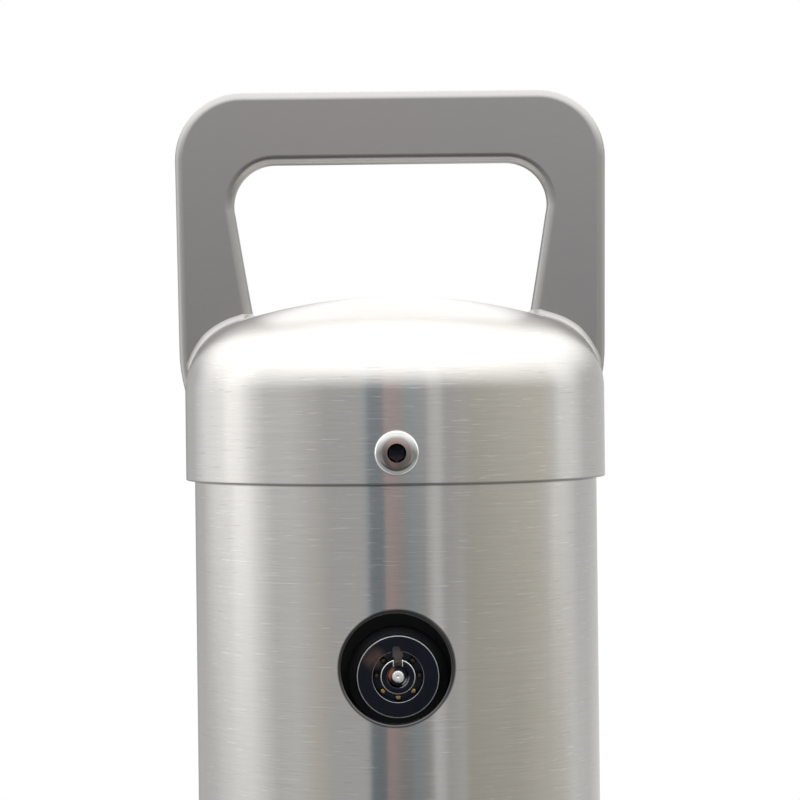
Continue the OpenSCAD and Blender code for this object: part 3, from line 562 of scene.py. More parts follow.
def softened(corners, steps=4):
    """A closed outline whose (across, up, softness) corners are rounded."""
    outline = []
    for k, (across, up, softness) in enumerate(corners):
        here = Vector((across, up))
        back = Vector(corners[k - 1][:2]) - here
        ahead = Vector(corners[(k + 1) % len(corners)][:2]) - here
        if softness == 0:
            outline.append((across, up))
            continue
        half = back.angle(ahead) / 2
        most = SIDE_SHARE * min(back.length, ahead.length)
        reach = min(softness / math.tan(half), most)
        radius = reach * math.tan(half)
        inward = (back.normalized() + ahead.normalized()).normalized()
        centre = here + inward * radius / math.sin(half)
        start = here + back.normalized() * reach - centre
        end = here + ahead.normalized() * reach - centre
        turn = start.angle_signed(end)
        for step in range(steps + 1):
            angle = -turn * step / steps
            c, s = math.cos(angle), math.sin(angle)
            spot = centre + Vector((start.x * c - start.y * s, start.x * s + start.y * c))
            outline.append((spot.x, spot.y))
    return outline


def ring(radius, height, steps=96):
    """A row of points round Z, or one point when the radius is nothing."""
    if radius < 1e-6:
        return [(0.0, 0.0, height)]
    angles = [2 * math.pi * k / steps for k in range(steps)]
    return [(radius * math.cos(a), radius * math.sin(a), height) for a in angles]


def skin(rows, closed=False):
    """Points and faces over rows of equal length. Closed joins the last row to the first."""
    points, starts = [], []
    for row in rows:
        starts.append(len(points))
        points += row
    faces = []
    pairs = list(zip(range(len(rows)), range(1, len(rows))))
    if closed:
        pairs.append((len(rows) - 1, 0))
    for low, high in pairs:
        steps = max(len(rows[low]), len(rows[high]))
        for k in range(steps):
            a, b = [(starts[low] + j % len(rows[low])) for j in (k, k + 1)]
            d, c = [(starts[high] + j % len(rows[high])) for j in (k, k + 1)]
            faces.append(tuple(dict.fromkeys((a, b, c, d))))
    return points, faces


def turned(outline, steps=96, closed=True):
    return skin([ring(radius, height, steps) for radius, height in outline], closed)


def join(*parts):
    """Several (points, faces) pairs as one."""
    points, faces = [], []
    for part_points, part_faces in parts:
        faces += [tuple(len(points) + k for k in face) for face in part_faces]
        points += part_points
    return points, faces


def new_object(name, shape, scale=MM, clean=True):
    """A linked object with the shape's mesh, its doubles merged and its faces turned outward."""
    points, faces = shape
    mesh = bpy.data.meshes.new(name)
    mesh.from_pydata([Vector(p) * scale for p in points], [], faces)
    if clean:
        work = bmesh.new()
        work.from_mesh(mesh)
        bmesh.ops.remove_doubles(work, verts=work.verts, dist=1e-7)
        bmesh.ops.recalc_face_normals(work, faces=work.faces)
        work.to_mesh(mesh)
        work.free()
    made = bpy.data.objects.new(name, mesh)
    bpy.context.collection.objects.link(made)
    return made


# %% [markdown]
# A mesh becomes a piece of the object when it has a finish, rides on a body of
# the mechanism, and takes the place of the engineering nodes that it stands for,
# which are hidden. Smooth shading with sharp edges kept, and normals weighted by
# face area, keep flats flat right up to their rounded edges.

# %% Turn meshes into pieces
remade = set()


def shade_evenly(item):
    even = item.modifiers.new("Even shading", "WEIGHTED_NORMAL")
    even.keep_sharp, even.weight = True, 80


def soften_edges(item, width, sharpest):
    """A narrow bevel, in millimetres, on edges that bend by more than an angle."""
    edge = item.modifiers.new("Soft edge", "BEVEL")
    edge.width, edge.segments, edge.limit_method = width * MM, 2, "ANGLE"
    edge.angle_limit = math.radians(sharpest)


def add_piece(
    name, shape, body, stands_for, slot, normals=None, sharp=40.0, bevel=0.0, finish=None
):
    """A mesh in millimetres as a piece. sharp is the angle, in degrees, above which an edge
    stays sharp, and finish is given when it isn't the slot's own."""
    piece = new_object(name, shape, clean=not normals)
    mesh = piece.data
    mesh.shade_smooth()
    mesh.materials.append(finishes[finish or slot])
    if normals:
        mesh.normals_split_custom_set_from_vertices(normals)
    else:
        mesh.set_sharp_from_angle(angle=math.radians(sharp))
    if bevel:
        soften_edges(piece, bevel, sharp)
    if not normals:
        shade_evenly(piece)
    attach(piece, body)
    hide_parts(*stands_for)
    remade.update(stands_for)
    return piece


# %% [markdown]
# ## The post
#
# The post is a length of tube with a round hole for the lock, and two lower
# down for the bolts. A hole drilled in a tube and cleaned up has a rolled lip
# whose highlight is easy to spoil: a Boolean cut leaves long thin faces that
# break the tall reflections. So a window is left in a regular grid and filled
# with rings that run from the window's edge to the hole, over the lip and
# through the wall, and every point is given the true normal of the cylinder.

# %% The tube's grid and windows
COLUMNS = 144
WINDOW = 8  # columns each side of a hole
WINDOW_H = 17.5


def around_hole(turn, height, sideways, up, outward):
    """A point beside a hole: outward is measured from the tube's axis along the hole."""
    c, s = math.cos(turn), math.sin(turn)
    return (outward * c - sideways * s, outward * s + sideways * c, height + up)


def flat_normal(point, sign=1.0):
    return Vector((point[0], point[1], 0.0)).normalized() * sign


def tube_with_holes(outer, inner, bottom, top, holes):
    heights = {bottom, top}
    for _, height, _, _ in holes:
        heights |= {height - WINDOW_H + k * WINDOW_H / WINDOW for k in range(2 * WINDOW + 1)}
    heights = sorted(heights)
    points, normals, faces = [], [], []

    def add(point, normal):
        points.append(point)
        normals.append(normal)
        return len(points) - 1

    walls = {}
    for wall, sign in ((outer, 1.0), (inner, -1.0)):
        for row, height in enumerate(heights):
            for k in range(COLUMNS):
                a = 2 * math.pi * k / COLUMNS
                spot = (wall * math.cos(a), wall * math.sin(a), height)
                walls[wall, row, k] = add(spot, flat_normal(spot, sign))

    def in_window(row, k):
        for turn, height, _, _ in holes:
            off = (k - round(turn / 360 * COLUMNS) + WINDOW) % COLUMNS
            middle = (heights[row] + heights[row + 1]) / 2
            if off < 2 * WINDOW and abs(middle - height) < WINDOW_H:
                return True
        return False

    for row in range(len(heights) - 1):
        for k in range(COLUMNS):
            if in_window(row, k):
                continue
            n = (k + 1) % COLUMNS
            for wall, a, b in ((outer, k, n), (inner, n, k)):
                corners = ((wall, row, a), (wall, row, b), (wall, row + 1, b), (wall, row + 1, a))
                faces.append(tuple(walls[corner] for corner in corners))
    for row, flip in ((0, True), (len(heights) - 1, False)):
        for k in range(COLUMNS):
            n = (k + 1) % COLUMNS
            corners = ((outer, row, k), (outer, row, n), (inner, row, n), (inner, row, k))
            face = tuple(walls[corner] for corner in corners)
            faces.append(face[::-1] if flip else face)
    for hole in holes:
        fill_window(hole, outer, inner, heights, walls, add, faces)
    return points, normals, faces


# %% [markdown]
# The rings start on the window's square edge and grow rounder towards the hole.
# More rings carry the surface over the rolled lip, and the last run out again
# along the inside wall to the same window there.

# %% Rings from a window to its hole
LIP_STEPS = 8


def fill_window(hole, outer, inner, heights, walls, add, faces):
    turn_deg, height, hole_r, lip = hole
    turn = math.radians(turn_deg)
    middle = round(turn_deg / 360 * COLUMNS)
    low = heights.index(height - WINDOW_H)
    side = range(-WINDOW, WINDOW)
    edge = [(k, low) for k in side] + [(WINDOW, low + WINDOW + k) for k in side]
    edge += [(-k, low + 2 * WINDOW) for k in side] + [(-WINDOW, low + WINDOW - k) for k in side]

    spokes = []  # direction and distance from the hole's middle to each point of the edge
    for k, row in edge:
        sideways = outer * math.sin(2 * math.pi * k / COLUMNS)
        up = heights[row] - height
        spokes.append((math.atan2(up, sideways), math.hypot(sideways, up)))

    def wall_ring(wall, share, hole_edge, sign):
        row = []
        for angle, reach in spokes:
            radius = hole_edge + (reach - hole_edge) * share
            sideways, up = radius * math.cos(angle), radius * math.sin(angle)
            spot = around_hole(turn, height, sideways, up, math.sqrt(wall**2 - sideways**2))
            row.append(add(spot, flat_normal(spot, sign)))
        return row

    rows = [[walls[outer, row, (middle + k) % COLUMNS] for k, row in edge]]
    rows += [wall_ring(outer, share, hole_r + lip, 1.0) for share in (0.7, 0.42, 0.2, 0.07, 0.0)]
    for step in range(1, LIP_STEPS + 1):
        bend = math.radians(90 * step / LIP_STEPS)
        row = []
        for angle, _ in spokes:
            radius = hole_r + lip * (1 - math.sin(bend))
            sideways, up = radius * math.cos(angle), radius * math.sin(angle)
            outward = math.sqrt(outer**2 - sideways**2)
            spot = around_hole(turn, height, sideways, up, outward - lip * (1 - math.cos(bend)))
            face_out = flat_normal(around_hole(turn, height, sideways, up, outward))
            to_middle = -Vector(around_hole(turn, 0.0, math.cos(angle), math.sin(angle), 0.0))
            normal = face_out * math.cos(bend) + to_middle * math.sin(bend)
            row.append(add(spot, normal.normalized()))
        rows.append(row)
    rows += [wall_ring(inner, share, hole_r, -1.0) for share in (0.0, 0.3, 0.65)]
    rows.append([walls[inner, row, (middle + k) % COLUMNS] for k, row in edge])
    for first, second in zip(rows, rows[1:]):
        for k in range(len(edge)):
            n = (k + 1) % len(edge)
            faces.append((first[k], first[n], second[n], second[k]))


# %% [markdown]
# The post has three holes: the lock's in front, and one each side where the
# bolts slide out.

# %% Make the post
BOLT_CLEARANCE = 4.0
bolt_hole_r = bolt_high.y + BOLT_CLEARANCE
post_holes = [  # direction in degrees, height, radius, lip
    (KEYHOLE_TURN, keyhole_z, KEYHOLE_R, 0.6),
    (0.0, bolt_z, bolt_hole_r, 0.5),
    (180.0, bolt_z, bolt_hole_r, 0.5),
]
points, normals, faces = tube_with_holes(
    post_r, post_r - POST_WALL, tube_low.z, tube_high.z, post_holes
)
shape = points, faces
add_piece("post_tube_brushed", shape, "post", ["post_tube"], "brushed_stainless", normals)
print("post:", len(points), "points")

# %% [markdown]
# ## The domed cap
#
# The cap is a pressing: a shallow dome, a tight knuckle and a straight skirt
# that slips over the tube. Turning its outline is the direct way to make it.
# The skirt's lower edge is rounded, and the gap between it and the tube stays
# open, because that gap gives the fine dark line under the skirt.

# %% Make the cap
def dome_outline(inset, steps=30):
    crown, knuckle = CROWN_R - inset, KNUCKLE_R - inset
    line = []
    for k in range(steps + 1):
        a = crown_angle * k / steps
        line.append((crown * math.sin(a), crown_centre + crown * math.cos(a)))
    for k in range(1, steps + 1):
        a = crown_angle + (math.pi / 2 - crown_angle) * k / steps
        line.append((knuckle_x + knuckle * math.sin(a), skirt_top + knuckle * math.cos(a)))
    return line


bore_r = cap_r - CAP_WALL
skirt_corners = [(bore_r, skirt_top, 0), (bore_r, cap_low.z, 0.2)]
skirt_corners += [(cap_r, cap_low.z, 0.3), (cap_r, skirt_top, 0)]
skirt_edge = softened(skirt_corners, 6)[1:-1]
skirt_rows = [(cap_r, cap_low.z + 1.0 + k * (skirt_top - cap_low.z - 2.0) / 6) for k in range(7)]
cap_line = dome_outline(CAP_WALL) + skirt_edge + skirt_rows + dome_outline(0)[::-1]
cap_shape = turned(cap_line, 192, closed=False)
add_piece("cap_brushed", cap_shape, "post", ["cap"], "brushed_stainless")
print("cap:", len(cap_line), "rings")

# %% [markdown]
# ## The handle
#
# The handle is cut from 8 mm plate as an upside-down U and its edges are
# rounded over by hand, a little over 2 mm. Each of its two outlines is half a
# curve: up from the foot, round one corner and in to the middle. The other half
# is its mirror image.

# %% Outlines of the handle
EDGE_R = 2.3
HANDLE_SHIFT = -0.55  # welded on by hand, a hair off the middle
FOOT_WIDER = 0.7  # how far the feet stand past the cap's skirt
FOOT_INNER = 35.0  # where the opening's outline would meet the skirt's top
OPENING_HALF = 39.7
SIDE_STEPS, CORNER_STEPS, TOP_STEPS = 18, 18, 5
CROWDING = 1.25  # above 1, the steps up a leg are closer near its foot


def tangent_side(foot, centre, radius):
    """Half an outline, from its foot to the middle of its top, as (point, normal) pairs."""
    away = Vector(centre) - Vector(foot)
    lean = math.atan2(away.y, away.x) - math.asin(radius / away.length)
    start = lean - math.pi / 2
    touch = Vector(centre) + radius * Vector((math.cos(start), math.sin(start)))
    out = Vector((math.cos(start), math.sin(start)))
    line = []
    for k in range(SIDE_STEPS):
        line.append((Vector(foot).lerp(touch, (k / SIDE_STEPS) ** CROWDING), out))
    for k in range(CORNER_STEPS):
        a = start + (math.pi / 2 - start) * k / CORNER_STEPS
        out = Vector((math.cos(a), math.sin(a)))
        line.append((Vector(centre) + radius * out, out))
    for k in range(TOP_STEPS + 1):
        top = Vector((centre[0] * (1 - k / TOP_STEPS), centre[1] + radius))
        line.append((top, Vector((0.0, 1.0))))
    return line


handle_half, plate_half, handle_top = handle_high
outer_corner = handle_half - HANDLE_CORNER, handle_top - HANDLE_CORNER
inner_corner = OPENING_HALF - OPENING_CORNER, handle_top - GRIP_H - OPENING_CORNER
outer_side = tangent_side((cap_r + FOOT_WIDER, skirt_top), outer_corner, HANDLE_CORNER)
inner_side = tangent_side((FOOT_INNER, skirt_top), inner_corner, OPENING_CORNER)


def mirrored(half):
    """The half outline, then the other half from the middle down."""
    other = [(Vector((-p.x, p.y)), Vector((-n.x, n.y))) for p, n in half[-2::-1]]
    return half + other


print("half an outline has", len(outer_side), "points")

# %% [markdown]
# Sweeping one rounded section from foot to foot keeps the flats truly flat and
# the corners evenly rounded. Each section spans from the opening's outline to
# the outer one. The feet follow the dome just under its surface, and their
# outer edges bend in to meet the skirt.

# %% Sweep the handle's section
EDGE_STEPS, ACROSS_STEPS = 6, 6
SUNK = 1.0  # how far under the dome the feet go
LEG_TOP = 623.0  # from here up the legs follow their outline alone
TUCK, TUCK_RISE = 1.3, 10.0  # how far the feet bend in, over what height


def handle_section(outer, inner):
    """One closed section: (across, up, depth) points and their normals."""
    (outer_at, outer_out), (inner_at, inner_out) = outer, inner
    section = []
    for front in (-1, 1):
        start, end = inner_at + inner_out * EDGE_R, outer_at - outer_out * EDGE_R
        spots = [start.lerp(end, k / ACROSS_STEPS) for k in range(ACROSS_STEPS + 1)]
        flat = [(spot, front * plate_half, Vector((0, front, 0))) for spot in spots]
        edge = []
        at, out, sign = (outer_at, outer_out, 1) if front < 0 else (inner_at, inner_out, -1)
        for side in (front, -front):
            bends = range(1, EDGE_STEPS + 1) if side == front else range(EDGE_STEPS, 0, -1)
            for k in bends:
                b = math.radians(90 * k / EDGE_STEPS)
                spot = at - sign * out * EDGE_R * (1 - math.sin(b))
                depth = side * (plate_half - EDGE_R * (1 - math.cos(b)))
                flank = sign * out * math.sin(b)
                edge.append((spot, depth, Vector((flank.x, side * math.cos(b), flank.y))))
        section += (flat if front < 0 else flat[::-1]) + edge
    return section


def sweep_handle():
    stations = [handle_section(o, i) for o, i in zip(mirrored(outer_side), mirrored(inner_side))]
    last = len(stations) - 1
    rows, normals = [], []
    for n, section in enumerate(stations):
        row = []
        climb = min(n, last - n) / SIDE_STEPS
        for spot, depth, normal in section:
            sunk = dome_height(math.hypot(spot.x, depth)) - SUNK
            height = spot.y
            if climb < 1:
                share = 1 - (sunk - skirt_top) / (LEG_TOP - skirt_top)
                height = sunk + (spot.y - skirt_top) * share
            tuck = max(0.0, 1.0 - (height - skirt_top) / TUCK_RISE) ** 2 * TUCK
            row.append((spot.x - math.copysign(tuck, spot.x) + HANDLE_SHIFT, depth, height))
            normals.append(normal)
        rows.append(row)
    points, faces = skin(rows)
    size = len(rows[0])
    faces += [tuple(range(size)), tuple(last * size + k for k in range(size))[::-1]]
    return points, faces, normals


points, faces, normals = sweep_handle()
shape = points, faces
add_piece("handle_plate", shape, "post", ["handle"], "satin_stainless", normals)
print("handle:", len(points), "points")

# %% [markdown]
# Each foot is welded all round, and the weld is ground to a narrow hollow
# chamfer. At every point of the seam two directions matter: one runs along the
# dome away from the plate, the other up the plate away from the dome. The
# chamfer spans between them, so it stays even where the dome turns steep. It
# thins out towards the rim, where the grinding disc ran off the edge.

# %% Ground welds
WELD = 1.55  # the chamfer's full size
WELD_INNER, WELD_OUTER = 35.7, 53.55  # its ends, measured across the handle
THIN, THIN_OVER = 0.3, 7.0  # its share of full size at the rim, and over what length it grows
RIM_GAP = 0.8  # how far it stays inside the skirt
HOLLOW = 0.62  # how far the chamfer's middle stands out: 1 would be flat
LEG_STEPS, BEND_STEPS, CHAMFER_STEPS = 30, 6, 6


def weld_path():
    """Points round a foot, the plate's outward direction and the weld's share of full size."""
    path = []
    for front in (-1, 1):
        leg = []
        for k in range(LEG_STEPS + 1):
            x = WELD_OUTER + (WELD_INNER + EDGE_R - WELD_OUTER) * k / LEG_STEPS
            share = THIN + (1 - THIN) * min(1.0, (WELD_OUTER - x) / THIN_OVER)
            leg.append((x, front * plate_half, Vector((0, front, 0)), share))
        for k in range(1, BEND_STEPS + 1):
            a = math.radians(90 * k / BEND_STEPS)
            x = WELD_INNER + EDGE_R * (1 - math.sin(a))
            y = front * (plate_half - EDGE_R * (1 - math.cos(a)))
            leg.append((x, y, Vector((-math.sin(a), front * math.cos(a), 0)), 1.0))
        path += leg if front < 0 else leg[::-1]
    return path


def dome_normal(x, y):
    radius = math.hypot(x, y)
    step = 0.02
    slope = (dome_height(radius) - dome_height(radius - step)) / step
    return Vector((-slope * x / radius, -slope * y / radius, 1.0)).normalized()


def weld_shape(side):
    """A foot's weld: a hollow chamfer in front, and three points buried in the steel."""
    rows = []
    for x, y, plate_out, share in weld_path():
        limit = math.sqrt((cap_r - RIM_GAP) ** 2 - y * y)
        x = max(-limit, min(limit, x * side + HANDLE_SHIFT))
        plate_out = Vector((plate_out.x * side, plate_out.y, 0))
        seam = Vector((x, y, dome_height(math.hypot(x, y))))
        up = dome_normal(x, y)
        along_dome = (plate_out - up * plate_out.dot(up)).normalized()
        up_plate = (up - plate_out * up.dot(plate_out)).normalized()
        first = seam + along_dome * WELD * share - up * 0.1
        last = seam + up_plate * WELD * share - plate_out * 0.05
        hollow = seam + ((first + last) / 2 - seam) * HOLLOW
        row = []
        for k in range(CHAMFER_STEPS + 1):
            t = k / CHAMFER_STEPS
            row.append(first * (1 - t) ** 2 + hollow * 2 * t * (1 - t) + last * t**2)
        buried = seam - plate_out * 0.6 - up * 0.7
        row += [last - plate_out * 0.6 - up * 0.4, buried, first - up * 0.7]
        rows.append([tuple(point) for point in row])
    points, faces = skin(rows)
    size = len(rows[0])
    last = (len(rows) - 1) * size
    return points, faces + [tuple(range(size)), tuple(last + k for k in range(size))]


both = join(weld_shape(1), weld_shape(-1))
add_piece("handle_welds_ground", both, "post", ["handle_welds"], "ground_weld", sharp=60)
print("welds:", len(both[0]), "points")

# %% [markdown]
# ## Screws
#
# Three button-head screws hold the cap. What makes a button head read as real
# is its socket: a hexagon with a chamfered mouth, so that from the front the
# mouth looks almost round and very dark.

# %% Socket screws
def hexagon(flats, height, steps=48):
    """A row of points on a hexagon that is flats wide."""
    row = []
    for k in range(steps):
        a = 2 * math.pi * k / steps
        r = flats / 2 / math.cos((a + math.pi / 6) % (math.pi / 3) - math.pi / 6)
        row.append((r * math.cos(a), r * math.sin(a), height))
    return row


def socket_screw(head, flats, depth, shank_r, shank_end):
    """Rows of a screw along Z. head is its outline from the socket's mouth out and down."""
    mouth_r, mouth_z = head[0]
    rows = [[(0.0, 0.0, mouth_z - depth - 0.5)]]
    rows += [hexagon(flats, mouth_z - depth), hexagon(flats, mouth_z - 0.9)]
    outline = [(mouth_r - 0.18, mouth_z - 0.3), (mouth_r - 0.1, mouth_z - 0.12)] + head
    outline += [(shank_r, head[-1][1]), (shank_r, shank_end + 0.6), (shank_r - 0.6, shank_end)]
    rows += [ring(r, z, 48) for r, z in outline]
    rows.append([(0.0, 0.0, shank_end)])
    return skin(rows)


def aimed(shape, angle_deg, radius, height):
    """The shape laid along the post's radius at an angle, its head outward."""
    points, faces = shape
    a = math.radians(angle_deg)
    c, s = math.cos(a), math.sin(a)
    moved = []
    for x, y, z in points:
        moved.append(((radius + z) * c - x * s, (radius + z) * s + x * c, height + y))
    return moved, faces


# %% [markdown]
# The head's outline is drawn as a path that bends down as it goes: slowly over
# the flat band round the socket, then quickly down to the rim.

# %% Cap screws
HEAD_R, HEAD_H = (screw_high.z - screw_low.z) / 2, 3.3
STRIDE = 0.26
slope, r, z = 2.0, SOCKET_R + 0.2, HEAD_H
button = [(r, z)]
while r < HEAD_R - 0.02 and z > 0.5:
    slope += 1.2 if r < BAND_R else 7.0
    r = min(HEAD_R, r + STRIDE * math.cos(math.radians(slope)))
    z -= STRIDE * math.sin(math.radians(slope))
    button.append((r, z))
button += [(HEAD_R, 0.3), (HEAD_R - 0.15, 0.0)]
m6 = socket_screw(button, flats=3.5, depth=2.6, shank_r=3.0, shank_end=-14.0)
three = join(*[aimed(m6, angle + SCREW_TURN, cap_r, screw_z) for angle in (270, 30, 150)])
add_piece(
    "cap_button_screws", three, "post", ["cap_screws"], "polished_stainless",
    sharp=32, finish="cap_screw_steel",
)
print("cap screws at", round(screw_z, 1), "mm, heads", round(2 * HEAD_R, 1), "mm across")

# %% [markdown]
# ## The key lock
#
# The lock takes a tubular key, so its face shows rings: the rim with a broad
# bevel, the ring-shaped slot with seven small brass pins, and the core with a
# dish and a bright pin in its middle. A notch at the top finds the key's peg.
# Each ring is turned, and the notch is cut with a Boolean, which is safe here
# because the faces that it crosses are flat.

# %% Turn the lock's rings
def lock_place(shape, across=0.0, up=0.0):
    """Turns a shape along Z to face out of the post, its zero on the lock's face."""
    points, faces = shape
    return [(x + across, face_y - z, lock_z + y + up) for x, y, z in points], faces


SLOT_R, CORE_R = 6.0, 4.2  # the ring-shaped slot lies between these
barrel_len = barrel_high.y - barrel_low.y
rim_r = barrel_high.x
barrel_line = softened(
    [
        (SLOT_R, -barrel_len, 0), (9.5, -barrel_len, 0.4), (9.5, -7.0, 0), (10.5, -7.0, 0),
        (10.5, -3.0, 0), (rim_r, -3.0, 0.3), (rim_r, -1.4, 0.35), (9.7, 0.0, 0.2),
        (SLOT_R, 0.0, 0.22),
    ]
)
core_face = [
    (SLOT_R - 0.05, -6.0, 0), (CORE_R, -6.0, 0), (CORE_R, 0.0, 0.24), (DISH_R, 0.0, 0.16),
    (2.1, -1.5, 0.4),
]
core_len = box_mm("lock_core")[1].y - face_y
core_line = [(0.0, -core_len), (SLOT_R - 0.05, -core_len)]
core_line += softened(core_face)[:-1] + [(0.0, -1.5)]
pin_face = [(1.5, -6.0, 0), (1.5, -0.4, 0.4), (0.35, -0.4, 0.1), (0.0, -0.62, 0)]
pin_line = [(0.0, -6.0), (1.5, -6.0)] + softened(pin_face)[1:]


# %% [markdown]
# The notch runs through both the barrel and the core. The cutter is a slot with
# a round top end. In the barrel it sits a hair to the left.

# %% Cut the notch
NOTCH_DEPTH = 6.0


def cutter(width, low, high, across=0.0):
    """A round-ended slot cutter above the lock's middle."""
    half = width / 2
    angles = [math.pi * k / 12 for k in range(13)]
    outline = [(-half, low), (half, low)]
    outline += [(half * math.cos(a), high - half + half * math.sin(a)) for a in angles]
    points = []
    for y in (face_y - 2.0, face_y + NOTCH_DEPTH):
        points += [(x + across, y, lock_z + up) for x, up in outline]
    n = len(outline)
    faces = [tuple(range(n)), tuple(range(2 * n - 1, n - 1, -1))]
    faces += [(k, n + k, n + (k + 1) % n, (k + 1) % n) for k in range(n)]
    return points, faces


def cut(shape, tool):
    """The shape with the tool's space taken out of it, as points and faces."""
    made = [new_object("blank", solid, scale=1.0) for solid in (shape, tool)]
    blank, tool_object = made
    step = blank.modifiers.new("Cut", "BOOLEAN")
    step.object, step.operation, step.solver = tool_object, "DIFFERENCE", "EXACT"
    bpy.context.view_layer.update()
    seen = blank.evaluated_get(bpy.context.evaluated_depsgraph_get())
    result = seen.to_mesh()
    shape = ([tuple(v.co) for v in result.vertices], [tuple(f.vertices) for f in result.polygons])
    seen.to_mesh_clear()
    for item in made:
        data = item.data
        bpy.data.objects.remove(item)
        bpy.data.meshes.remove(data)
    return shape


# %% [markdown]
# The barrel stays with the post, the core and its pin turn with the key, and the
# seven key pins slide together on a body of their own.

# %% Add the lock
CHROME_EDGE = {"sharp": 30, "bevel": 0.07}
KEY_PIN_RING, KEY_PIN_R = 5.1, 0.7
barrel_cut = cut(lock_place(turned(barrel_line, 128)), cutter(2.45, 0.0, 7.3, across=-0.35))
barrel = add_piece(
    "lock_barrel_plated", barrel_cut, "post", ["lock_barrel"], "black_chrome", **CHROME_EDGE
)
core_cut = cut(lock_place(turned(core_line, 96, closed=False)), cutter(1.95, 2.6, 6.6))
add_piece(
    "lock_core_plated", core_cut, "lock_core", ["lock_core"], "black_chrome", **CHROME_EDGE
)
pin_shape = lock_place(turned(pin_line, 48, closed=False))
add_piece(
    "centre_pin_turned", pin_shape, "lock_core", ["centre_pin"], "bright_chrome",
    sharp=35, finish="turned_pin_steel",
)

key_pin_tip = [(KEY_PIN_R, -9.0, 0), (KEY_PIN_R, -1.7, 0.35), (0.0, -1.7, 0)]
key_pin_line = [(0.0, -9.0), (KEY_PIN_R, -9.0)] + softened(key_pin_tip)[1:]
key_pin = turned(key_pin_line, 24, closed=False)
pins = []
for turn in range(45, 360, 45):
    a = math.radians(turn)
    pins.append(lock_place(key_pin, KEY_PIN_RING * math.sin(a), KEY_PIN_RING * math.cos(a)))
add_piece(
    "key_pins_brass", join(*pins), "key_pins", ["key_pins"], "brass",
    sharp=50, finish="key_pin_brass",
)
print("lock:", len(barrel.data.polygons), "faces on the barrel,", len(pins), "key pins")

# %% [markdown]
# ## Everything that keeps its engineering mesh
#
# The other nodes are already the right shape. Each gets its finish by the slot
# that the record gives it, and a narrow bevel with even shading, so that no
# edge is a mathematical line.

# %% Dress the remaining nodes
SMALL = {"lower_pin_clip", "upper_pin_clip", "crank_screw", "retainer_screws"}
dressed = 0
for part in frame["record"]["subparts"]:
    node = nodes[part["node"]]
    node.data.materials.clear()
    node.data.materials.append(finishes[part["material_slot"]])
    if part["node"] in remade:
        continue
    weld_points = node.modifiers.new("Weld", "WELD")
    weld_points.merge_threshold = 0.00001
    soften_edges(node, 0.12 if part["node"] in SMALL else 0.35, 35)
    shade_evenly(node)
    dressed += 1
print(dressed, "nodes keep their engineering mesh")

# %% [markdown]
# ## The studio
#
# Polished metal shows the room more than itself. The room here is two rings of
# soft upright panels, one at eye level and one near the floor, set like flags
# and reflectors round a product table: a dark strip in front, grey flags beside
# it, and bright panels at the sides. It brightens towards overhead, and a low
# dark panel behind draws the dome's outline. Looking straight at the room shows
# plain white.

# %% Panels round the object
WHITE, COOL = (1.0, 1.0, 1.0), (0.86, 1.0, 1.12)
WARM, SAND = (1.18, 0.95, 0.95), (1.03, 1.0, 0.9)
EYE_LEVEL = [  # degrees from the front towards the right, brightness, and a tint if it has one
    (-180, 0.12), (-160, 0.48), (-143, 0.6), (-126, 1.02), (-108, 1.2),
    (-102, 1.42), (-93, 1.36), (-83, 0.94), (-74, 0.69), (-59, 0.66),
    (-44, 0.52), (-38, 0.44), (-20, 0.43), (-16, 0.4, COOL), (-14, 0.24, COOL),
    (-7, 0.24, COOL), (-6, 0.37, WARM), (1, 0.35, WARM), (4, 0.36), (8, 0.38, COOL),
    (16, 0.39), (18, 0.61), (24, 0.58), (26, 0.4), (45, 0.46, SAND),
    (66, 0.56, SAND), (86, 0.61, SAND), (94, 0.7), (101, 0.94), (110, 0.92),
    (125, 0.62), (150, 0.6),
]
NEAR_FLOOR = [
    (-180, 0.3), (-154, 0.54), (-127, 0.64), (-118, 0.76), (-104, 0.88),
    (-90, 0.9), (-81, 0.78), (-71, 0.6), (-58, 0.65), (-44, 0.55, SAND),
    (-36, 0.52), (-17, 0.53), (-14, 0.2, COOL), (-7, 0.19, COOL), (-6, 0.31, WARM),
    (-1, 0.28, WARM), (2, 0.23), (7, 0.23), (9, 0.28, COOL), (16, 0.3),
    (19, 0.36), (21, 0.64), (26, 0.6), (28, 0.46), (37, 0.54),
    (40, 0.42, SAND), (70, 0.43, SAND), (88, 0.54, SAND), (104, 0.56, SAND), (118, 0.74),
    (138, 0.64), (150, 0.7),
]
BRIGHTEST = 2.2
OVERHEAD, BEHIND_FLOOR, BEFORE_FLOOR = 2.1, 0.7, 0.14

room = bpy.data.worlds.new("studio_room")
bpy.context.scene.world = room
sky = Finish(room)
toward = sky.node("TexCoord", out="Generated")
parts = sky.node("SeparateXYZ", None, {0: toward})
turn = sky.maths("ARCTAN2", parts, 0.0 - parts.side("Y")) / (2 * math.pi) + 0.5
height = parts.side("Z")


def panel_ring(panels):
    stops = []
    for degrees, level, *tint in panels:
        colour = shade(tint[0] if tint else WHITE, level / BRIGHTEST)
        stops.append((0.5 + degrees / 360, colour))
    return sky.node("ValToRGB", {"stops": stops}, {0: turn})


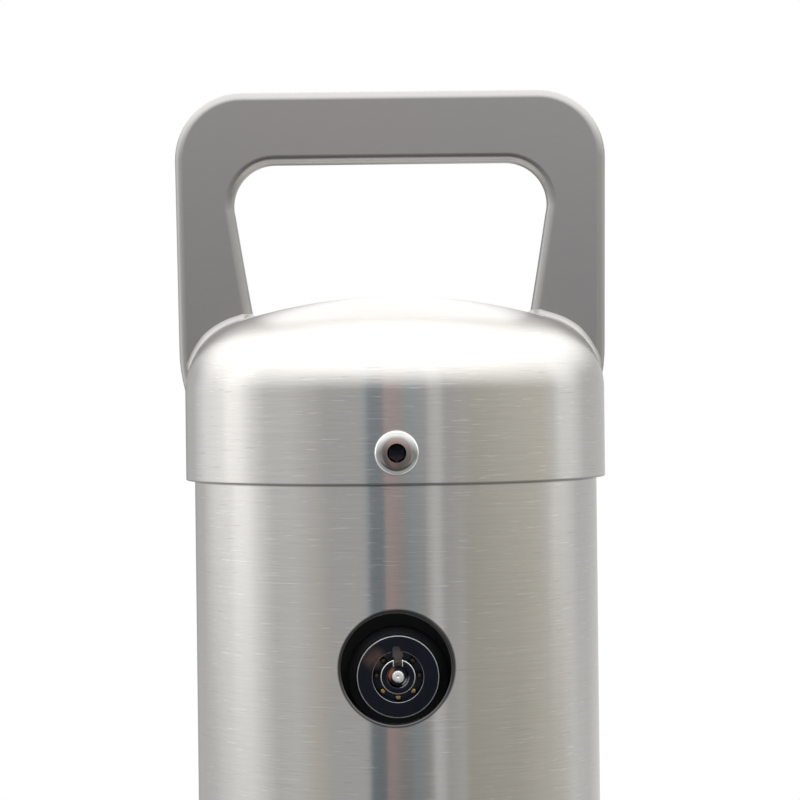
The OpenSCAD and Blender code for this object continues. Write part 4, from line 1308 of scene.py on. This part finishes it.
light = sky.mix(sky.ramp(height, 0.0, -0.17), panel_ring(EYE_LEVEL), panel_ring(NEAR_FLOOR))
back = sky.ramp(parts.side("Y"), 0.2, 0.8)  # from the sides towards what is behind
rise = sky.node("MapRange", None, {"Value": height, "From Min": 0.0, "From Max": 0.72})
upper = rise * (1.0 - back) + back * sky.ramp(height, 0.12, 0.6)
lower = sky.ramp(height, -0.2, -0.5)
front = sky.ramp(parts.side("Y"), -0.45, -0.75)
behind, before, above = [
    shade(WHITE, level / BRIGHTEST) for level in (BEHIND_FLOOR, BEFORE_FLOOR, OVERHEAD)
]
below = sky.mix(front, behind, before)
light = sky.mix(upper, light, above)
light = sky.mix(lower, light, below)
glow = sky.node("Background", None, {"Color": light, "Strength": BRIGHTEST})
plain = sky.node("Background", None, {"Color": (1.0, 1.0, 1.0, 1.0), "Strength": 1.0})
seen = sky.node("LightPath", out="Is Camera Ray")
both = sky.node("MixShader", None, {0: seen, 1: glow, 2: plain})
sky.node("OutputWorld", None, {"Surface": both})
print(len(EYE_LEVEL), "panel edges at eye level,", len(NEAR_FLOOR), "near the floor")

# %% [markdown]
# The object stands on a pale round floor at the foot of its casing. One broad
# lamp overhead gives the soft contact shadows that the panels alone would wash
# out. The camera stands level with the space between the lock and the screw,
# close in with a long lens, and leans by a fraction of a degree, because a post
# in the street is never set quite upright.

# %% Floor, lamp and camera
FLOOR_R, FLOOR_EDGE, FLOOR_THICK = 1500.0, 60.0, 20.0
outer_r = FLOOR_R + FLOOR_EDGE
floor_line = [(0.0, 0.0), (FLOOR_R, 0.0), (outer_r, -6.0), (outer_r, -FLOOR_THICK)]
floor_line.append((0.0, -FLOOR_THICK))
floor = new_object("floor", turned(floor_line, 128, closed=False), clean=False)
floor.location.z = cad_box[0].z
ground = new_finish("pale_floor")
x, y, z = ground.place()
grain = ground.noise(x * 0.01, y * 0.01, z * 0.01, detail=4.0)
tone = ground.mix(grain, (0.78, 0.78, 0.77), (0.83, 0.83, 0.82))
floor.data.materials.append(ground.surface(tone, 0.75, 0.0))
floor.visible_glossy = False

lamp_data = bpy.data.lights.new("overhead", "AREA")
lamp_data.shape, lamp_data.size, lamp_data.energy = "DISK", 1.6, 9.0
lamp = bpy.data.objects.new("overhead", lamp_data)
lamp.location = (-0.25, -0.5, 1.9)
to_middle = Vector((0, 0, 0.3)) - lamp.location
lamp.rotation_euler = to_middle.to_track_quat("-Z", "Y").to_euler()
lamp.visible_glossy = False
bpy.context.collection.objects.link(lamp)

CAMERA_AT = (0.0, -0.660, 0.5766)
TILT_DOWN, TURN_RIGHT, LEAN = [math.radians(angle) for angle in (0.242, 0.113, -0.66)]
camera_data = bpy.data.cameras.new("camera")
camera_data.lens, camera_data.sensor_width = 117.0, 36.0
camera_data.clip_start, camera_data.clip_end = 0.01, 50.0
camera = bpy.data.objects.new("camera", camera_data)
camera.location = CAMERA_AT
camera.rotation_mode = "QUATERNION"
level = Quaternion((1, 0, 0), math.radians(90) - TILT_DOWN)
aim = Quaternion((0, 0, 1), -TURN_RIGHT) @ level @ Quaternion((0, 0, 1), LEAN)
camera.rotation_quaternion = aim
bpy.context.collection.objects.link(camera)
bpy.context.scene.camera = camera
bpy.context.scene.view_settings.view_transform = "Standard"
print("camera", round(-CAMERA_AT[1], 3), "m in front, lens", camera_data.lens, "mm")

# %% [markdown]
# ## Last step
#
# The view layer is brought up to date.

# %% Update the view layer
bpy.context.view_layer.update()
